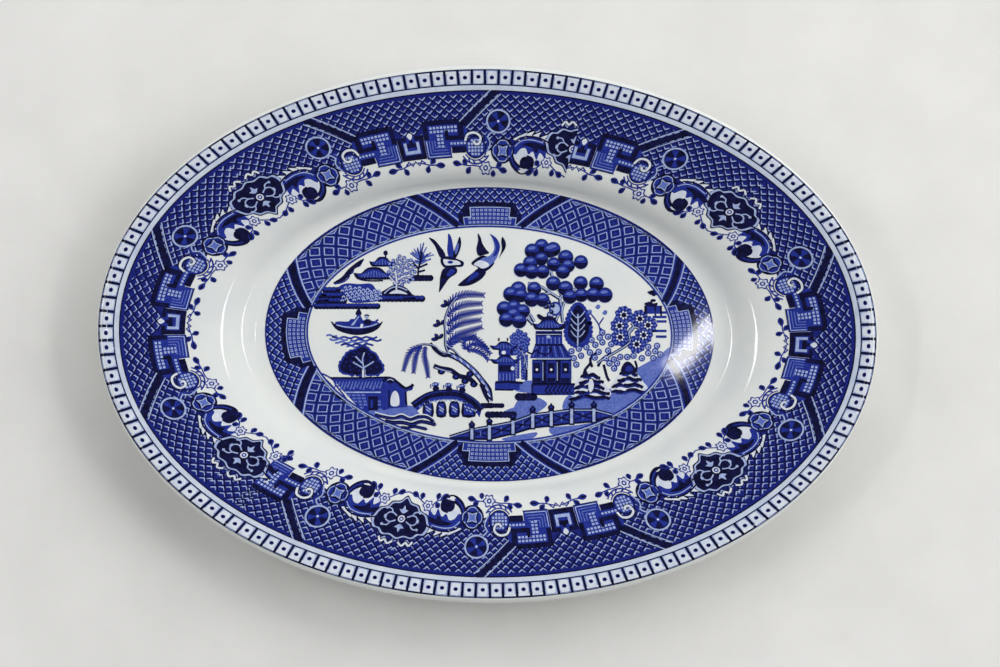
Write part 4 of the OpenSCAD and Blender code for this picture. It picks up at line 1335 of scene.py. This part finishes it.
smooth("PALE 1", [(6.0, -33.2), (14.0, -31.6), (17.0, -31.4), (15.0, -33.4), (8.0, -34.0)], steps=3)
lumps(11.2, 15.6, -20.0, 1.3, ("NAVY 3", None))
lumps(1.4, 5.8, -22.8, 0.8, ("NAVY 3", None))

# %% [markdown]
# The fence crosses the foreground: two rails, crossed panels between them, and a knobbed post
# wherever one panel meets the next.

# %% The fence
TOP = [(-10.6, -32.6), (-3.6, -30.4), (1.9, -29.4), (9.3, -28.0), (15.5, -25.7), (21.3, -25.0),
    (27.7, -24.2), (34.7, -24.2), (40.5, -25.7)]
LOW = [(-10.6, -33.2), (-3.6, -33.4), (1.9, -33.4), (9.3, -31.7), (15.5, -29.8), (21.3, -29.2),
    (27.7, -28.4), (34.7, -27.9), (40.5, -26.3)]
for (ax, ay), (bx, by), (cx, cy), (dx, dy) in zip(TOP, TOP[1:], LOW, LOW[1:]):
    v("ROYAL 3", [(ax, ay), (bx, by), (dx, dy), (cx, cy)])
    stroke("NAVY 4", [(ax, ay - 0.6), (dx, dy + 0.6)], 0.5)
    stroke("NAVY 4", [(cx, cy + 0.6), (bx, by - 0.6)], 0.5)
    stroke("PALE 4", [((ax + bx) / 2, (ay + by) / 2 - 0.9), ((cx + dx) / 2, (cy + dy) / 2 + 0.9)], 0.35)
pen("view NAVY 5", TOP, 0.85)
pen("view NAVY 5", LOW, 0.65)
pen("view BLEED 6", [(x, y - 0.15) for x, y in TOP], 0.28)
for (x, y), (_, low) in zip(TOP[1:8], LOW[1:8]):
    v("NAVY 6", box(x - 0.85, low - 0.6, x + 0.85, y + 0.9))
    v("BLEED 7", box(x - 0.45, low - 0.1, x + 0.45, y + 0.3))
    v("NAVY 7", disc(x, y + 1.5, 1.05, 0.9, n=12))
    v("ROYAL 8", disc(x, y + 1.7, 0.45, 0.3, n=8))
    v("NAVY 7", disc(x, y + 2.4, 0.35, 0.5, n=8))
print("shapes so far:", tally())

# %% [markdown]
# Now the tissue goes down. Each sheet becomes one piece: it is cut, wrapped by its group's own way,
# trimmed where it would run over, and laid on the glaze. The solids of the print are then hidden.

# %% Lay the sheets
INKS = {"NAVY": NAVY, "ROYAL": ROYAL, "PALE": PALE, "BLEED": BLEED, "WHITE": WHITE, "WASHED": WASHED,
    "DEEP": DEEP}
ways = {"edge": (on_rim, (3, 1), []), "band": (on_band, (3, 3), [("y", -0.4, -1), ("y", BAND_DEEP, 1)]),
    "view": (on_floor, (0, 0), [])}
for key, (low, high, _) in strips.items():
    ways[key] = (on_rim, (3, 3), [("x", low, -1), ("x", high, 1), ("y", BORDER_OUT, 1)])
for key, sheet in sheets.items():
    group, ink = key.split()
    lay_sheet("print_" + key.replace(" ", "_").lower(), sheet, INKS[ink], *ways[group])
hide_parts("edge_strip")
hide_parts("border_strip_left")
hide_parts("centre_print")
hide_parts("border_strip_right")

# %% [markdown]
# Bare clay shows only on the ground face of the foot. The plate lies on matt paper, between large
# softboxes that give soft shadows. The softboxes are hidden from reflections, because mirrored in
# the steep sides of the well they grey the print. The glaze mirrors only the windows and the pane.

# %% Studio
clay = glazed("bare_fired_clay", "#cfc9bb", "#ddd8cc", 2.0, rough=0.8)
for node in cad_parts.values():
    node.data.materials.clear()
    node.data.materials.append(clay)
floor_mesh = bpy.data.meshes.new("floor")
bm = bmesh.new()
bmesh.ops.create_grid(bm, x_segments=2, y_segments=2, size=3)
bm.to_mesh(floor_mesh)
bm.free()
floor = bpy.data.objects.new("floor", floor_mesh)
bpy.context.collection.objects.link(floor)
paper = glazed("matt_studio_paper", "#e6e5e2", "#ecebe8", 30, rough=0.9)
floor_mesh.materials.append(paper)


def lamp(name, place, target, size, power, mirrored=False):
    """A rectangle of light facing a target; only the windows show as reflections in the glaze."""
    data = bpy.data.lights.new(name, "AREA")
    data.shape, data.size, data.size_y, data.energy = "RECTANGLE", size[0], size[1], power
    light = bpy.data.objects.new(name, data)
    bpy.context.collection.objects.link(light)
    light.location = place
    light.rotation_euler = (Vector(target) - Vector(place)).to_track_quat("-Z", "Y").to_euler()
    light.visible_glossy = mirrored


def slatted(name, place, across, up, power):
    """A soft window behind upright slats: a row of narrow lights side by side, facing the plate."""
    count = 11
    for i in range(count):
        y = place[1] + (i - (count - 1) / 2) * across / count
        lamp(name + str(i), (place[0], y, place[2]), (0, y * 0.4, 0), (up, across / count * 0.8),
            power / count, True)


slatted("window_left", (-0.58, 0.12, 0.82), 0.34, 0.34, 0.7)
slatted("window_right", (0.63, 0.08, 0.80), 0.40, 0.45, 0.65)
lamp("softbox_back", (0.45, 1.6, 1.2), (0, 0, 0), (2.4, 1.4), 23)
lamp("softbox_left", (-1.5, 0.2, 1.0), (0, 0, 0), (1.5, 1.5), 10.5)
lamp("softbox_right", (1.5, 0.3, 1.0), (0, 0, 0), (1.5, 1.5), 20.5)
lamp("softbox_front", (0.2, -1.5, 1.1), (0, 0, 0), (1.5, 1.2), 5)
lamp("small_pane", (0.13, 0.075, 1.06), (0.065, 0, 0), (0.012, 0.06), 0.045, True)
world = bpy.data.worlds.new("studio")
bpy.context.scene.world = world
world.use_nodes = True
world.node_tree.nodes["Background"].inputs[0].default_value = (0.95, 0.97, 1.0, 1)
world.node_tree.nodes["Background"].inputs[1].default_value = 0.08
bpy.context.scene.view_settings.view_transform = "Standard"

# %% [markdown]
# A long lens looks almost straight down, as for a catalogue, so that the oval is hardly distorted.

# %% Camera
FRAME_W = 0.3119        # width of what the frame takes in at the plate, in metres
LENS, SENSOR = 120, 36
cam_data = bpy.data.cameras.new("camera")
cam = bpy.data.objects.new("camera", cam_data)
bpy.context.collection.objects.link(cam)
cam_data.lens, cam_data.sensor_width = LENS, SENSOR
reach = FRAME_W * LENS / SENSOR
tilt = math.radians(4)
aim = (0.0052, 0.0, 0.015)
cam.location = (aim[0], aim[1] - reach * math.sin(tilt), aim[2] + reach * math.cos(tilt))
cam.rotation_euler = (tilt, 0, math.radians(1.0))
cam_data.dof.use_dof = False
bpy.context.scene.camera = cam
print("camera", round(reach, 3), "m away")
